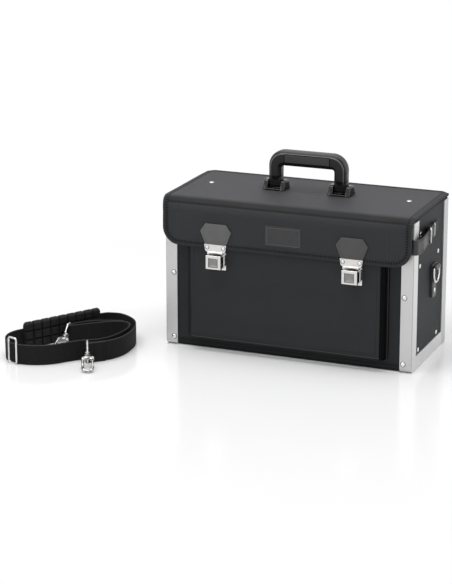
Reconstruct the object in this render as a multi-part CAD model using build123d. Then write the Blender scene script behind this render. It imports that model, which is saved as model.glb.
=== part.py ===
"""Tool bag: a board case in two aluminium edge frames, with a textile lid and flap, two push-button
locks, a carrying handle, leather side straps and a detached shoulder strap lying beside it.

Millimetres. X to the right, Y to the back, Z up. The origin is on the ground under the middle of the
case. Pieces that come in pairs are built on the right (+X) and mirrored to the left.
"""

import os
from math import atan2, cos, degrees, hypot, pi, radians, sin

from build123d import *

# Overall size of the closed case
body_width = 440.0
body_depth = 194.0
lid_top = 266.0

# Sheets and boards
profile_t = 2.0
profile_front = 21.0
profile_side = 24.0
profile_bend = 8.0
board_t = 4.0
base_t = 5.0
lid_board_t = 4.0
skin_t = 3.0
leather_t = 2.2
soft_gap = 0.3
pin_fit = 0.05

# Lid and flap
bend_radius = 24.0
flap_gap = 1.0
flap_bottom = 184.0
flap_corner = 28.0
binding_w = 9.0
binding_t = 0.7
lid_range_axis_gap = 0.3

# Front pocket
pocket_half = 168.0
pocket_flare = 6.0
pocket_depth = 17.0
pocket_bottom = 22.0
pocket_top = 214.0
pocket_wall = 1.6
welt_w = 5.0
welt_t = 1.2

# Locks
lock_x = 120.0
lock_back = (34.0, 30.0, 1.0)
lock_case = (26.8, 23.5, 16.0)
lock_case_bottom = 151.0
lock_wall = 1.0
button_size = (17.0, 15.5)
button_travel = 3.0
lock_side_rim = (2.4, 2.6, 2.2)
patch_reach = 27.7
patch_top = 226.5
patch_widest = 213.5
plate_top = 191.5
plate_height = 13.0
plate_w = 39.6
plate_t = 1.2
tongue_neck_r = 2.2
tongue_rivet = (3.2, 1.3)

# Handle
handle_y = 6.0
arm_x = 58.5
arm_w = 22.0
grip_h = 24.0
grip_d = 22.0
handle_rise = 67.0
handle_corner = 26.0
bracket_w = 40.0
bracket_d = 34.0
bracket_base_t = 3.5
ear_t = 8.0
ear_h = 17.0
handle_pin_r = 2.5
handle_pin_rise = 9.0
bracket_bridge_t = 1.8
handle_neck = 10.0

# Rivets
rivet_head_r = 4.0
rivet_dome = 2.2
rivet_flat = 1.2
rivet_shank_r = 2.0
rivet_tail = 0.8
side_shank_r = 1.5
rivet_crown = 0.55
rivet_sides = 8
front_rivet_inset = 15.0
front_rivet_pitch = 114.0
front_rivet_first = 15.0

# Dividers, held by the channels that the side rivets carry
divider_ys = (-56.5, 48.0)
divider_t = 4.0
divider_top = 232.0
channel_t = 1.2
channel_depth = 10.0

# Side strap, buckle and ring tab
strap_w = 25.0
strap_low = 203.0
buckle_bar_y = -27.0
buckle_z = 223.5
buckle_wire_r = 1.5
buckle_reach = 16.0
buckle_lift = 9.7
buckle_h = 25.0
prong_r = 1.1
chape_t = 3.6
chape_half = 9.0
chape_end = 33.0
keeper_r = 1.0
keeper_y = 9.0
strap_tip = 8.0
tab_y = 17.0
tab_w = 25.0
tab_bottom = 102.0
tab_top = 163.0
ring_wire_r = 2.0
ring_half = 12.5
ring_drop = 25.0

# Shoulder strap
webbing_w = 35.0
webbing_t = 1.8
pad_h = 46.0
pad_base_t = 3.0
pad_block_t = 5.5
pad_columns = 8
pad_rows = 3
slider_size = (21.0, 47.0)
slider_wire_r = 1.6
slider_at = 0.578
pad_insets = (8.6, 5.0)
bail_wire_r = 1.6
hook_thick = 5.0
hook_half_w = 10.2
hook_length = 42.0
stud_r = 2.0
stud_head_r = 2.9

# Worked out from the sizes above
half_w = body_width / 2
half_d = body_depth / 2
handle_top = lid_top + handle_rise
skin_under = lid_top - skin_t
board_under = skin_under - lid_board_t
wall_top = board_under - soft_gap
profile_top = wall_top - 3.0
wall_front = -(half_d - profile_t)
pocket_front = wall_front - pocket_depth
skin_inner = pocket_front - flap_gap
skin_outer = skin_inner - skin_t
bend_y = skin_outer + bend_radius
bend_z = lid_top - bend_radius
hinge_y = half_d + lid_range_axis_gap
hinge_z = (wall_top + board_under) / 2
inner_w = half_w - profile_t - board_t
inner_d = half_d - profile_t - board_t
base_top = profile_t + base_t


def block(x, y, z):
    """A box between two corners, given as three (low, high) pairs."""
    size = [high - low for low, high in (x, y, z)]
    middle = [(low + high) / 2 for low, high in (x, y, z)]
    return Pos(*middle) * Box(*size)


def rod(start, end, radius):
    """A round bar from one point to another."""
    axis = Vector(*end) - Vector(*start)
    plane = Plane(origin=start, z_dir=axis)
    return extrude(plane * Circle(radius), axis.length)


def prism(points, plane, depth, both=False):
    """A flat outline, in a plane's own two directions, made solid."""
    return extrude(plane * make_face(Polyline(*points, close=True)), depth, both=both)


def mirrored(shape):
    """The left-hand twin of a right-hand piece."""
    return mirror(shape, about=Plane.YZ)


def rivet(point, outward, grip, head_height, head_r=rivet_head_r, shank_r=rivet_shank_r):
    """A rivet: head outside, shank through the sheets, upset tail inside."""
    plane = Plane(origin=point, z_dir=outward)
    rim = RegularPolygon(head_r, 10)
    crown = Pos(0, 0, head_height) * RegularPolygon(head_r * rivet_crown, 10)
    shank = Pos(0, 0, -grip) * extrude(RegularPolygon(shank_r, rivet_sides), grip)
    tail_r = shank_r + (1.2 if shank_r == rivet_shank_r else 0.6)
    tail = Pos(0, 0, -grip - rivet_tail) * extrude(RegularPolygon(tail_r, rivet_sides), rivet_tail)
    return plane.location * (loft([rim, crown]) + shank + tail)


def rivet_hole(point, outward, grip, shank_r=rivet_shank_r):
    """The clearance hole that a rivet's shank passes through."""
    plane = Plane(origin=point, z_dir=outward)
    opening = RegularPolygon(shank_r + 2 * pin_fit, rivet_sides)
    return plane.location * (Pos(0, 0, -grip - 1) * extrude(opening, grip + 2))


# Where the rivets stand
front_rivet_x = half_w - front_rivet_inset
front_rivet_zs = [front_rivet_first + i * front_rivet_pitch for i in range(3)]
front_grip = profile_t + board_t
side_grip = board_t
side_rivet_zs = (30.0, 174.0)
upper_rivet_z = 228.5
tab_rivet_z = 114.0


def front_rivet_points(side):
    """Rivets through the front and rear flanges of one frame: point and outward direction."""
    for z in front_rivet_zs:
        yield (side * front_rivet_x, -half_d, z), (0, -1, 0)
        yield (side * front_rivet_x, half_d, z), (0, 1, 0)


def side_rivet_points(side):
    """Rivets that hold the divider channels through the side board."""
    spots = [(y, z) for y in divider_ys for z in side_rivet_zs]
    spots.append((divider_ys[0], upper_rivet_z))
    for y, z in spots:
        yield (side * (half_w - profile_t), y, z), (side, 0, 0)


def side_outline(inset, radius, top, x):
    """The case's side view, drawn in by an inset and with a round front-bottom corner."""
    half = half_d - inset
    face = make_face(Polyline((-half, top), (-half, inset), (half, inset), (half, top), close=True))
    face = fillet(face.vertices().group_by(Axis.Y)[0].sort_by(Axis.X)[0], radius)
    return Pos(x[0]) * extrude(Plane.YZ * face, x[1] - x[0])


def inside_frames():
    """The space between the two frames' bent front corners, which the boards stay within."""
    return side_outline(
        profile_t, profile_bend - profile_t + soft_gap, lid_top, (-half_w, half_w)
    )


def edge_frame():
    """The right aluminium frame: an L section up the front, along the bottom and up the back."""
    x_in = half_w - profile_front
    frame = side_outline(0, profile_bend, profile_top, (x_in, half_w))
    frame -= side_outline(
        profile_t, profile_bend - profile_t, profile_top + 1, (x_in - 1, half_w - profile_t)
    )
    window_half = half_d - profile_side
    frame -= block(
        (half_w - profile_t - 1, half_w + 1),
        (-window_half, window_half),
        (profile_side, profile_top + 1),
    )
    corners = frame.edges().filter_by(Axis.Z).group_by(Axis.X)[-1]
    outer_corners = corners.filter_by_position(Axis.Y, -half_d - 1, -half_d + 1)
    outer_corners += corners.filter_by_position(Axis.Y, half_d - 1, half_d + 1)
    frame = fillet(outer_corners, profile_t * 0.75)
    seam = Pos(half_w, half_d - profile_side / 2, profile_side / 2)
    seam *= Rot(-45, 0, 0) * Box(0.8, profile_side * 2, 0.4)
    frame -= seam
    for point, outward in front_rivet_points(1):
        frame -= rivet_hole(point, outward, front_grip)
    return frame


def wall(side):
    """The front (-1) or rear (1) board, behind the frames' flanges."""
    outer = half_d - profile_t
    board = block(
        (-(half_w - profile_t), half_w - profile_t),
        sorted((side * outer, side * (outer - board_t))),
        (profile_t, wall_top),
    )
    board &= inside_frames()
    for hand in (-1, 1):
        for point, outward in front_rivet_points(hand):
            if outward[1] == side:
                board -= rivet_hole(point, outward, front_grip)
    return board


def side_panel():
    """The right side board, between the front and rear boards."""
    panel = block(
        (inner_w, half_w - profile_t), (-inner_d, inner_d), (profile_t, wall_top)
    )
    panel &= inside_frames()
    for point, outward in side_rivet_points(1):
        panel -= rivet_hole(point, outward, side_grip, side_shank_r)
    return panel - rivet_hole((half_w - profile_t, tab_y, tab_rivet_z), (1, 0, 0), side_grip)


def base_board():
    """The bottom board, on the frames' bottom flanges and between the four walls."""
    return block((-inner_w, inner_w), (-inner_d, inner_d), (profile_t, base_top)) & inside_frames()


def base_sheet():
    """The thin metal sheet under the base board, flush with the frames' bottom flanges."""
    reach = half_w - profile_front - soft_gap
    deep = half_d - 0.5
    return block((-reach, reach), (-deep, deep), (0, profile_t))


def divider_channel(y):
    """A U channel on the inside of the right side board, riveted through it."""
    half = divider_t / 2 + soft_gap
    z = (base_top, divider_top)
    channel = block(
        (inner_w - channel_depth, inner_w), (y - half - channel_t, y + half + channel_t), z
    )
    channel -= block((inner_w - channel_depth - 1, inner_w - channel_t), (y - half, y + half), z)
    for point, outward in side_rivet_points(1):
        channel -= rivet_hole(point, outward, side_grip + channel_t, side_shank_r)
    return channel


def divider(y):
    """A loose divider board between two channels, with a finger dip in its top edge."""
    reach = inner_w - channel_t - rivet_tail - soft_gap
    board = block((-reach, reach), (y - divider_t / 2, y + divider_t / 2), (base_top, divider_top))
    dip = Pos(0, y, divider_top + 30) * Rot(90, 0, 0) * Cylinder(55, divider_t * 3)
    return board - dip


def front_pocket():
    """A raised pocket on the front wall: flared side folds, open top, flat welt round it."""

    def pouch(grow, front_y, top, back_y):
        wide = pocket_half + pocket_flare - grow
        narrow = pocket_half - grow
        low_back = pocket_bottom + grow
        low_front = pocket_bottom + pocket_flare + grow
        sections = []
        for y, half, low in ((back_y, wide, low_back), (front_y, narrow, low_front)):
            plane = Plane(origin=(0, y, (low + top) / 2), x_dir=(1, 0, 0), z_dir=(0, -1, 0))
            sections.append(plane * Rectangle(2 * half, top - low))
        return loft(sections)

    outside = pouch(0, pocket_front, pocket_top, wall_front)
    front_edges = outside.faces().sort_by(Axis.Y)[0].edges()
    rounded = front_edges.filter_by(Axis.Z) + front_edges.sort_by(Axis.Z)[:1]
    outside = fillet(rounded, 3.0)
    inside = pouch(pocket_wall, pocket_front + pocket_wall, pocket_top + 1, wall_front)
    reach = pocket_half + pocket_flare + welt_w
    welt = block(
        (-reach, reach), (wall_front - welt_t, wall_front), (pocket_bottom - welt_w, pocket_top)
    )
    return (outside + welt) - inside


# The lid's outline in the YZ plane, at a distance in from its outer surface
def lid_shell(inset, thickness, x, drop):
    """Top, front bend and flap as one bent sheet, between two x values."""
    plane = Plane.YZ

    def sheet_line(offset):
        radius = bend_radius - offset
        top = Line((half_d, lid_top - offset), (bend_y, lid_top - offset))
        bend = CenterArc((bend_y, bend_z), radius, 90, 90)
        fall = Line((bend_y - radius, bend_z), (bend_y - radius, drop))
        return top, bend, fall

    outer = sheet_line(inset)
    inner = sheet_line(inset + thickness)
    ends = [Line(outer[2] @ 1, inner[2] @ 1), Line(outer[0] @ 0, inner[0] @ 0)]
    face = make_face(Curve() + [*outer, *inner, *ends])
    return Pos(x[0]) * extrude(plane * face, x[1] - x[0])


def flap_outline(grow, radius, low, high):
    """The flap's front view as a prism through the whole depth of the lid's front."""
    half = half_w + grow
    face = make_face(
        Polyline((-half, low), (half, low), (half, high), (-half, high), close=True)
    )
    face = fillet(face.vertices().group_by(Axis.Y)[0], radius)
    plane = Plane(origin=(0, skin_outer - 5, 0), x_dir=(1, 0, 0), z_dir=(0, -1, 0))
    return extrude(plane * face, -body_depth * 2)


def lid_skin():
    """The textile skin: lid top, front bend and hanging flap with round lower corners."""
    skin = lid_shell(0, skin_t, (-half_w, half_w), flap_bottom)
    skin &= flap_outline(0, flap_corner, flap_bottom, lid_top + 1)
    for x in (-rivet_x, rivet_x):
        skin -= rivet_hole((x, handle_y, lid_top), (0, 0, 1), skin_t + lid_board_t)
    return skin


def lid_board():
    """The stiffening board under the top of the skin."""
    board = block((-half_w, half_w), (bend_y, half_d), (board_under, skin_under))
    for x in (-rivet_x, rivet_x):
        board -= rivet_hole((x, handle_y, lid_top), (0, 0, 1), skin_t + lid_board_t)
    return board


def lid_binding():
    """The sewn tape over the skin's two side edges and the flap's lower edge."""
    wrap = lid_shell(-binding_t, skin_t + binding_t, (-half_w - binding_t, half_w + binding_t),
                     flap_bottom - binding_t)
    wrap &= flap_outline(binding_t, flap_corner + binding_t, flap_bottom - binding_t, lid_top + 1)
    middle = lid_shell(-binding_t - 1, skin_t + binding_t + 2, (-half_w, half_w), flap_bottom - 1)
    middle &= flap_outline(
        -binding_w, flap_corner - binding_w, flap_bottom + binding_w, lid_top + 2
    )
    return wrap - middle - lid_shell(0, skin_t + 1, (-half_w, half_w), flap_bottom) & (
        flap_outline(binding_t, flap_corner + binding_t, flap_bottom - binding_t, lid_top + 1)
    )


rivet_x = 178.0


def hinge_strip():
    """The textile strip down the back, which carries the lid's rear edge."""
    reach = half_w - profile_front - soft_gap
    back = half_d - profile_t
    return block((-reach, reach), (back, back + 1.2), (wall_top - 34, wall_top))


def latch_patch():
    """The six-sided leather patch behind the right tongue plate."""
    plate_bottom = plate_top - plate_height
    half = [
        (18.5, patch_top),
        (patch_reach, patch_widest),
        (19.0, plate_top),
        (17.0, plate_bottom + 5.5),
    ]
    outline = half + [(-x, z) for x, z in reversed(half)]
    plane = Plane(origin=(lock_x, skin_outer, 0), x_dir=(1, 0, 0), z_dir=(0, -1, 0))
    patch = prism(outline, plane, leather_t)
    over_binding = block(
        (lock_x - patch_reach, lock_x + patch_reach),
        (skin_outer - binding_t, skin_outer + 1),
        (0, flap_bottom + binding_w),
    )
    return patch - over_binding


def lock_tongue():
    """The right tongue: riveted plate, rolled neck, and the blade that drops into the lock."""
    front = skin_outer - leather_t
    plate_bottom = plate_top - plate_height
    plane = Plane(origin=(lock_x, front, 0), x_dir=(1, 0, 0), z_dir=(0, -1, 0))
    face = make_face(
        Polyline(
            (-plate_w / 2, plate_top),
            (plate_w / 2, plate_top),
            (plate_w / 2 - 2, plate_bottom),
            (-plate_w / 2 + 2, plate_bottom),
            close=True,
        )
    )
    face = fillet(face.vertices().group_by(Axis.Y)[0], 4.5)
    plate = extrude(plane * face, plate_t)
    neck_z = lock_case_top + tongue_neck_r + 0.8
    neck_y = front - plate_t + 0.2
    reach = lock_case[0] / 2 - 0.8
    neck = rod((lock_x - reach, neck_y, neck_z), (lock_x + reach, neck_y, neck_z), tongue_neck_r)
    web = block(
        (lock_x - reach, lock_x + reach), (front - plate_t, front), (neck_z, plate_bottom + 1)
    )
    blade = block(
        (lock_x - 9, lock_x + 9),
        (neck_y + 0.7, neck_y + 0.7 + plate_t),
        (lock_case_top - 7, neck_z),
    )
    return plate + neck + web + blade


lock_case_top = lock_case_bottom + lock_case[1]
button_z = lock_case_bottom + lock_case[1] / 2 - 0.6


def lock_case_piece():
    """The right lock case: back plate, sheet shell with a window and open sides, and a slot for
    the tongue."""
    width, height, depth = lock_case
    back_w, back_h, back_t = lock_back
    x = (lock_x - width / 2, lock_x + width / 2)
    plate = block(
        (lock_x - back_w / 2, lock_x + back_w / 2),
        (pocket_front - back_t, pocket_front),
        (lock_case_bottom - 4, lock_case_bottom - 4 + back_h),
    )
    plate = fillet(plate.edges().filter_by(Axis.Y), 1.5)
    front = pocket_front - back_t - depth
    case = block(x, (front, pocket_front - back_t), (lock_case_bottom, lock_case_top))
    case = fillet(case.edges().group_by(Axis.Y)[0], lock_wall * 0.8)
    case -= block(
        (x[0] + lock_wall, x[1] - lock_wall),
        (front + lock_wall, pocket_front - back_t + 0.01),
        (lock_case_bottom + lock_wall, lock_case_top - lock_wall),
    )
    case -= Pos(lock_x, front, button_z) * Box(
        button_size[0] + 0.5, lock_wall * 4, button_size[1] + 0.5
    )
    case -= block(
        (x[0] - 1, x[1] + 1),
        (front + lock_side_rim[0], pocket_front - back_t - lock_side_rim[1]),
        (lock_case_bottom + lock_side_rim[2], lock_case_top - lock_side_rim[2]),
    )
    case -= block(
        (lock_x - 10, lock_x + 10),
        (front + 3, pocket_front - back_t - 2.5),
        (lock_case_top - lock_wall - 1, lock_case_top + 1),
    )
    return case + plate


def lock_button():
    """The right push button: dished face, with a flange that the case's front holds in."""
    front = pocket_front - lock_back[2] - lock_case[2]
    face_y = front + 1.4
    body = Pos(lock_x, face_y + 2.2, button_z) * Box(button_size[0], 4.4, button_size[1])
    dish = Plane(origin=(lock_x, face_y, button_z), x_dir=(1, 0, 0), z_dir=(0, -1, 0))
    outer = dish * Rectangle(button_size[0] - 2, button_size[1] - 2)
    floor = Plane(origin=(lock_x, face_y + 1.2, button_z), x_dir=(1, 0, 0), z_dir=(0, -1, 0))
    inner = floor * Rectangle(button_size[0] - 6, button_size[1] - 6)
    body -= loft([outer, inner])
    flange_y = front + lock_wall + soft_gap
    flange = block(
        (lock_x - button_size[0] / 2 - 1.5, lock_x + button_size[0] / 2 + 1.5),
        (flange_y + 1.2, flange_y + 2.4),
        (button_z - button_size[1] / 2 - 1.2, button_z + button_size[1] / 2 + 1.2),
    )
    return body + flange


def handle_bracket():
    """The right bracket: foot plate and two ears with a bore for the handle's pin."""
    pin_z = lid_top + handle_pin_rise
    foot = block(
        (arm_x - bracket_w / 2, arm_x + bracket_w / 2),
        (handle_y - bracket_d / 2, handle_y + bracket_d / 2),
        (lid_top, lid_top + bracket_base_t),
    )
    foot = fillet(foot.edges().filter_by(Axis.Z), 4.0)
    ears = []
    for hand in (-1, 1):
        outer = arm_x + hand * bracket_w / 2 - hand * 0.6
        span = sorted((outer, outer - hand * ear_t))
        profile = make_face(
            Polyline(
                (handle_y - 13, lid_top + bracket_base_t - 0.5),
                (handle_y + 13, lid_top + bracket_base_t - 0.5),
                (handle_y + 7.5, lid_top + ear_h),
                (handle_y - 7.5, lid_top + ear_h),
                close=True,
            )
        )
        profile = fillet(profile.vertices().group_by(Axis.Y)[-1], 4.0)
        ears.append(Pos(span[0]) * extrude(Plane.YZ * profile, span[1] - span[0]))
    bracket = foot + ears[0] + ears[1]
    gap = bracket_w / 2 - 0.6 - ear_t
    bracket -= block(
        (arm_x - gap, arm_x + gap),
        (handle_y - bracket_d, handle_y + bracket_d),
        (lid_top + bracket_bridge_t, lid_top + 2 * ear_h),
    )
    reach = bracket_w / 2 + 1
    bracket -= rod(
        (arm_x - reach, handle_y, pin_z), (arm_x + reach, handle_y, pin_z), handle_pin_r
    )
    return bracket


def handle_pin():
    """The right pin, pressed in the ears; the arm turns on it."""
    pin_z = lid_top + handle_pin_rise
    reach = bracket_w / 2 - 0.6
    return rod((arm_x - reach, handle_y, pin_z), (arm_x + reach, handle_y, pin_z), handle_pin_r)


def handle():
    """The moulded handle: octagonal section, two arms, round shoulders and pin bores."""
    pin_z = lid_top + handle_pin_rise
    half_h, half_dp = grip_h / 2, grip_d / 2
    centre_z = handle_top - half_h
    eye_r = handle_pin_rise - bracket_bridge_t - soft_gap
    path = FilletPolyline(
        (arm_x, handle_y, pin_z + handle_neck),
        (arm_x, handle_y, centre_z),
        (-arm_x, handle_y, centre_z),
        (-arm_x, handle_y, pin_z + handle_neck),
        radius=handle_corner - 10,
    )
    cut = 5.0
    half_a = arm_w / 2
    section = make_face(
        Polyline(
            (-half_a, -half_dp + cut), (-half_a + cut, -half_dp), (half_a - cut, -half_dp),
            (half_a, -half_dp + cut), (half_a, half_dp - cut), (half_a - cut, half_dp),
            (-half_a + cut, half_dp), (-half_a, half_dp - cut), close=True,
        )
    )
    start = Plane(origin=path @ 0, x_dir=(1, 0, 0), z_dir=(0, 0, 1))
    body = sweep(start * section, path=path)
    tongue_half = bracket_w / 2 - 0.6 - ear_t - soft_gap
    for x in (-arm_x, arm_x):
        eye = rod((x - tongue_half, handle_y, pin_z), (x + tongue_half, handle_y, pin_z), eye_r)
        neck = block(
            (x - tongue_half, x + tongue_half),
            (handle_y - eye_r, handle_y + eye_r),
            (pin_z, pin_z + handle_neck + 2),
        )
        body += eye + neck
    for x in (-arm_x, arm_x):
        body -= rod(
            (x - bracket_w, handle_y, pin_z), (x + bracket_w, handle_y, pin_z),
            handle_pin_r + pin_fit,
        )
    for side in (-1, 1):
        body -= Pos(0, handle_y + side * half_dp, centre_z) * Box(
            grip_panel[0] + 0.1, 2 * grip_panel[2], grip_panel[1] + 0.1
        )
    return body


grip_panel = (78.0, 13.0, 0.8)


def handle_grip():
    """The two inset grip panels, front and back."""
    centre_z = handle_top - grip_h / 2
    panels = []
    for side in (-1, 1):
        y = handle_y + side * (grip_d / 2 - grip_panel[2] / 2)
        panels.append(Pos(0, y, centre_z) * Box(grip_panel[0], grip_panel[2], grip_panel[1]))
    return Compound(panels)


def side_strap():
    """The right leather strap: from the front wall, round the corner, through the buckle."""
    front_y = -half_d - soft_gap - leather_t / 2
    bulge_x = half_w + 8.5
    over_chape = buckle_bar_x + chape_eye_r + soft_gap + leather_t / 2
    under_far = buckle_far_x - buckle_wire_r - soft_gap - leather_t / 2
    on_chape = half_w - profile_t + chape_t + soft_gap + leather_t / 2
    line = FilletPolyline(
        (strap_anchor_x, front_y),
        (half_w + 4, front_y),
        (bulge_x, front_y + 24),
        (under_far, buckle_far_y),
        (over_chape + 0.2, buckle_bar_y),
        (on_chape, keeper_y - 15),
        (on_chape, strap_tip),
        radius=(6, 30, 20, 12, 8),
    )
    ribbon = Pos(0, 0, strap_low - 20) * extrude(trace(line, leather_t), body_depth)
    half_far, half_tip = buckle_h / 2 - buckle_wire_r - 0.7, chape_half + soft_gap
    side_view = prism(
        [
            (-half_d - 20, strap_low),
            (-half_d + 12, strap_low),
            (buckle_far_y, buckle_z - half_far),
            (strap_tip - 4, buckle_z - half_tip),
            (strap_tip, buckle_z - half_tip + 5),
            (strap_tip, buckle_z + half_tip - 5),
            (strap_tip - 4, buckle_z + half_tip),
            (buckle_far_y, buckle_z + half_far),
            (-half_d + 12, strap_low + strap_w),
            (-half_d - 20, strap_low + strap_w),
        ],
        Plane.YZ,
        body_width,
    )
    anchor = block(
        (strap_anchor_x, half_w - profile_front - soft_gap),
        (front_y, wall_front),
        (strap_low, strap_low + strap_w),
    )
    slot_half = prong_r + 0.7
    slot = block(
        (buckle_bar_x + chape_eye_r, half_w + 20),
        (buckle_far_y + 4.5, buckle_bar_y + 1.9),
        (buckle_z - slot_half, buckle_z + slot_half),
    )
    return (ribbon & side_view) + anchor - slot


strap_anchor_x = half_w - profile_front - 15
buckle_bar_x = half_w - profile_t + leather_t + 1.6
buckle_far_x = buckle_bar_x + buckle_lift
buckle_far_y = buckle_bar_y - buckle_reach
chape_eye_r = buckle_wire_r + soft_gap + 1.5


def strap_chape():
    """The doubled leather strip on the right side wall, folded round the buckle's bar."""
    x0 = half_w - profile_t
    z = (buckle_z - chape_half, buckle_z + chape_half)
    tail = block((x0, x0 + chape_t), (buckle_bar_y + 2, chape_end), z)
    tail = fillet(tail.edges().filter_by(Axis.X).group_by(Axis.Y)[-1], 4.0)
    bar = (buckle_bar_x, buckle_bar_y)
    eye = rod((*bar, z[0]), (*bar, z[1]), chape_eye_r)
    chape = tail + eye
    chape -= rod((*bar, z[0] - 1), (*bar, z[1] + 1), buckle_wire_r + soft_gap)
    slot_half = prong_r + 0.9
    chape -= block(
        (x0 - 1, buckle_far_x),
        (buckle_far_y, buckle_bar_y + prong_eye_r + 0.6),
        (buckle_z - slot_half, buckle_z + slot_half),
    )
    return chape - block(
        (x0 - 1, x0 + 2 * keeper_r + soft_gap),
        (keeper_y - keeper_r - 0.4, keeper_y + keeper_r + 0.4),
        (z[0] - 1, z[1] + 1),
    )


def bent_wire(path, wire_r):
    """Wire along a path, with the flats of a drawn eight-sided section."""
    start = Plane(origin=path @ 0, z_dir=path % 0)
    return sweep(start * RegularPolygon(wire_r, 8), path=path)


def wire_loop(points, radius, wire_r):
    """A closed loop of round wire through rounded corners."""
    path = FilletPolyline(*points, radius=radius, close=True)
    return bent_wire(path, wire_r)


def tilted_loop(near, far, height, radius, wire_r):
    """A wire rectangle between two upright bars, each given as (x, y), at the buckle's height."""
    low, high = buckle_z - height / 2, buckle_z + height / 2
    return wire_loop([(*near, low), (*near, high), (*far, high), (*far, low)], radius, wire_r)


def strap_buckle():
    """The right buckle: a rectangle of round wire, tipped out over the strap."""
    return tilted_loop(
        (buckle_bar_x, buckle_bar_y), (buckle_far_x, buckle_far_y), buckle_h, 4.0, buckle_wire_r
    )


def buckle_prong():
    """The right prong: an eye round the buckle's bar and a pin laid on the far bar."""
    bar = Vector(buckle_bar_x, buckle_bar_y, buckle_z)
    far = Vector(buckle_far_x, buckle_far_y, buckle_z)
    along = (far - bar).normalized()
    outward = Vector(-along.Y, along.X, 0)
    tip = buckle_wire_r
    lift = (buckle_wire_r + prong_r + 0.2) * (1 + tip / (far - bar).length)
    rest = far + outward * lift + along * tip
    reach = (rest - bar).normalized()
    eye = rod(
        tuple(bar - Vector(0, 0, prong_r + 0.4)), tuple(bar + Vector(0, 0, prong_r + 0.4)),
        prong_eye_r,
    )
    pin = rod(tuple(bar + reach * 2.4), tuple(rest), prong_r)
    return eye + pin - rod(
        tuple(bar - Vector(0, 0, 4)), tuple(bar + Vector(0, 0, 4)), buckle_wire_r + pin_fit
    )


prong_eye_r = buckle_wire_r + 1.4


def strap_keeper():
    """The right keeper: a wire loop through the chape's fold, leaning over the strap's tip."""
    near = (half_w - profile_t + keeper_r + 0.1, keeper_y)
    on_strap = half_w - profile_t + chape_t + soft_gap + leather_t
    far = (on_strap + keeper_r + 0.5, keeper_y - 11)
    height = 2 * (chape_half + soft_gap + keeper_r + 0.4)
    return tilted_loop(near, far, height, 2.4, keeper_r)


def ring_tab():
    """The right leather tab: a flat tongue with a loop at its top that holds the ring's bar."""
    x0 = half_w - profile_t
    thick = 2 * leather_t
    loop_r = ring_wire_r + pin_fit * 4 + leather_t
    x_bar, z_bar = ring_bar
    y = (tab_y - tab_w / 2, tab_y + tab_w / 2)
    tongue = block((x0, x0 + thick), y, (tab_bottom, z_bar))
    low_edges = tongue.edges().filter_by(Axis.X).group_by(Axis.Z)[0]
    tongue = fillet(low_edges, tab_w * 0.3)
    cap = block((x0, x0 + thick), y, (z_bar, tab_top))
    loop = rod((x_bar, y[0], z_bar), (x_bar, y[1], z_bar), loop_r)
    tab = tongue + cap + loop
    tab -= rod((x_bar, y[0] - 1, z_bar), (x_bar, y[1] + 1, z_bar), ring_wire_r + pin_fit)
    return tab - rivet_hole((x0 + thick, tab_y, tab_rivet_z), (1, 0, 0), thick + board_t)


ring_bar = (half_w - profile_t + 2 * leather_t + ring_wire_r + 0.6, tab_top - 9.0)


def d_ring():
    """The right D ring: a straight bar in the tab's loop and a round bow hanging from it."""
    x, z = ring_bar
    half = tab_w / 2 + ring_wire_r + 0.6
    path = FilletPolyline(
        (x, tab_y + half, z),
        (x, tab_y - half, z),
        (x, tab_y - half, z - ring_drop * 0.55),
        (x, tab_y - half * 0.45, z - ring_drop),
        (x, tab_y + half * 0.45, z - ring_drop),
        (x, tab_y + half, z - ring_drop * 0.55),
        radius=(2.4, 2.4, 7, 7, 7, 7),
        close=True,
    )
    return bent_wire(path, ring_wire_r)


def label_patch():
    """The bare woven patch sewn to the middle of the flap."""
    return block((-32, 32), (skin_outer - 0.8, skin_outer), (198.2, 233.4))


def frame_rivets():
    """Dome rivets through both frames' front and rear flanges."""
    return Compound(
        [
            rivet(point, outward, front_grip, rivet_dome)
            for side in (-1, 1)
            for point, outward in front_rivet_points(side)
        ]
    )


def side_rivets():
    """Flat rivets through the side boards into the divider channels."""
    rivets = [
        rivet(point, outward, side_grip + channel_t, rivet_flat, shank_r=side_shank_r)
        for side in (-1, 1)
        for point, outward in side_rivet_points(side)
    ]
    return Compound(rivets)


def tab_rivets():
    """Flat rivets that fix the ring tabs to the side boards."""
    rivets = []
    thick = 2 * leather_t
    for side in (-1, 1):
        point = (side * (half_w - profile_t + thick), tab_y, tab_rivet_z)
        rivets.append(rivet(point, (side, 0, 0), thick + board_t, rivet_flat))
    return Compound(rivets)


def lid_rivets():
    """The two flat rivets that fix the board under the lid's skin."""
    return Compound(
        [
            rivet((x, handle_y, lid_top), (0, 0, 1), skin_t + lid_board_t, rivet_flat, 4.4)
            for x in (-rivet_x, rivet_x)
        ]
    )


def tongue_rivets():
    """Dome rivets on the two tongue plates."""
    front = skin_outer - leather_t - plate_t
    z = plate_top - plate_height * 0.42
    heads = []
    for x in (-lock_x, lock_x):
        for hand in (-1, 1):
            head_r, height = tongue_rivet
            plane = Plane(origin=(x + hand * 14.6, front, z), z_dir=(0, -1, 0))
            crown = Pos(0, 0, height) * RegularPolygon(head_r * rivet_crown, 10)
            heads.append(plane.location * loft([RegularPolygon(head_r, 10), crown]))
    return Compound(heads)


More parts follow.
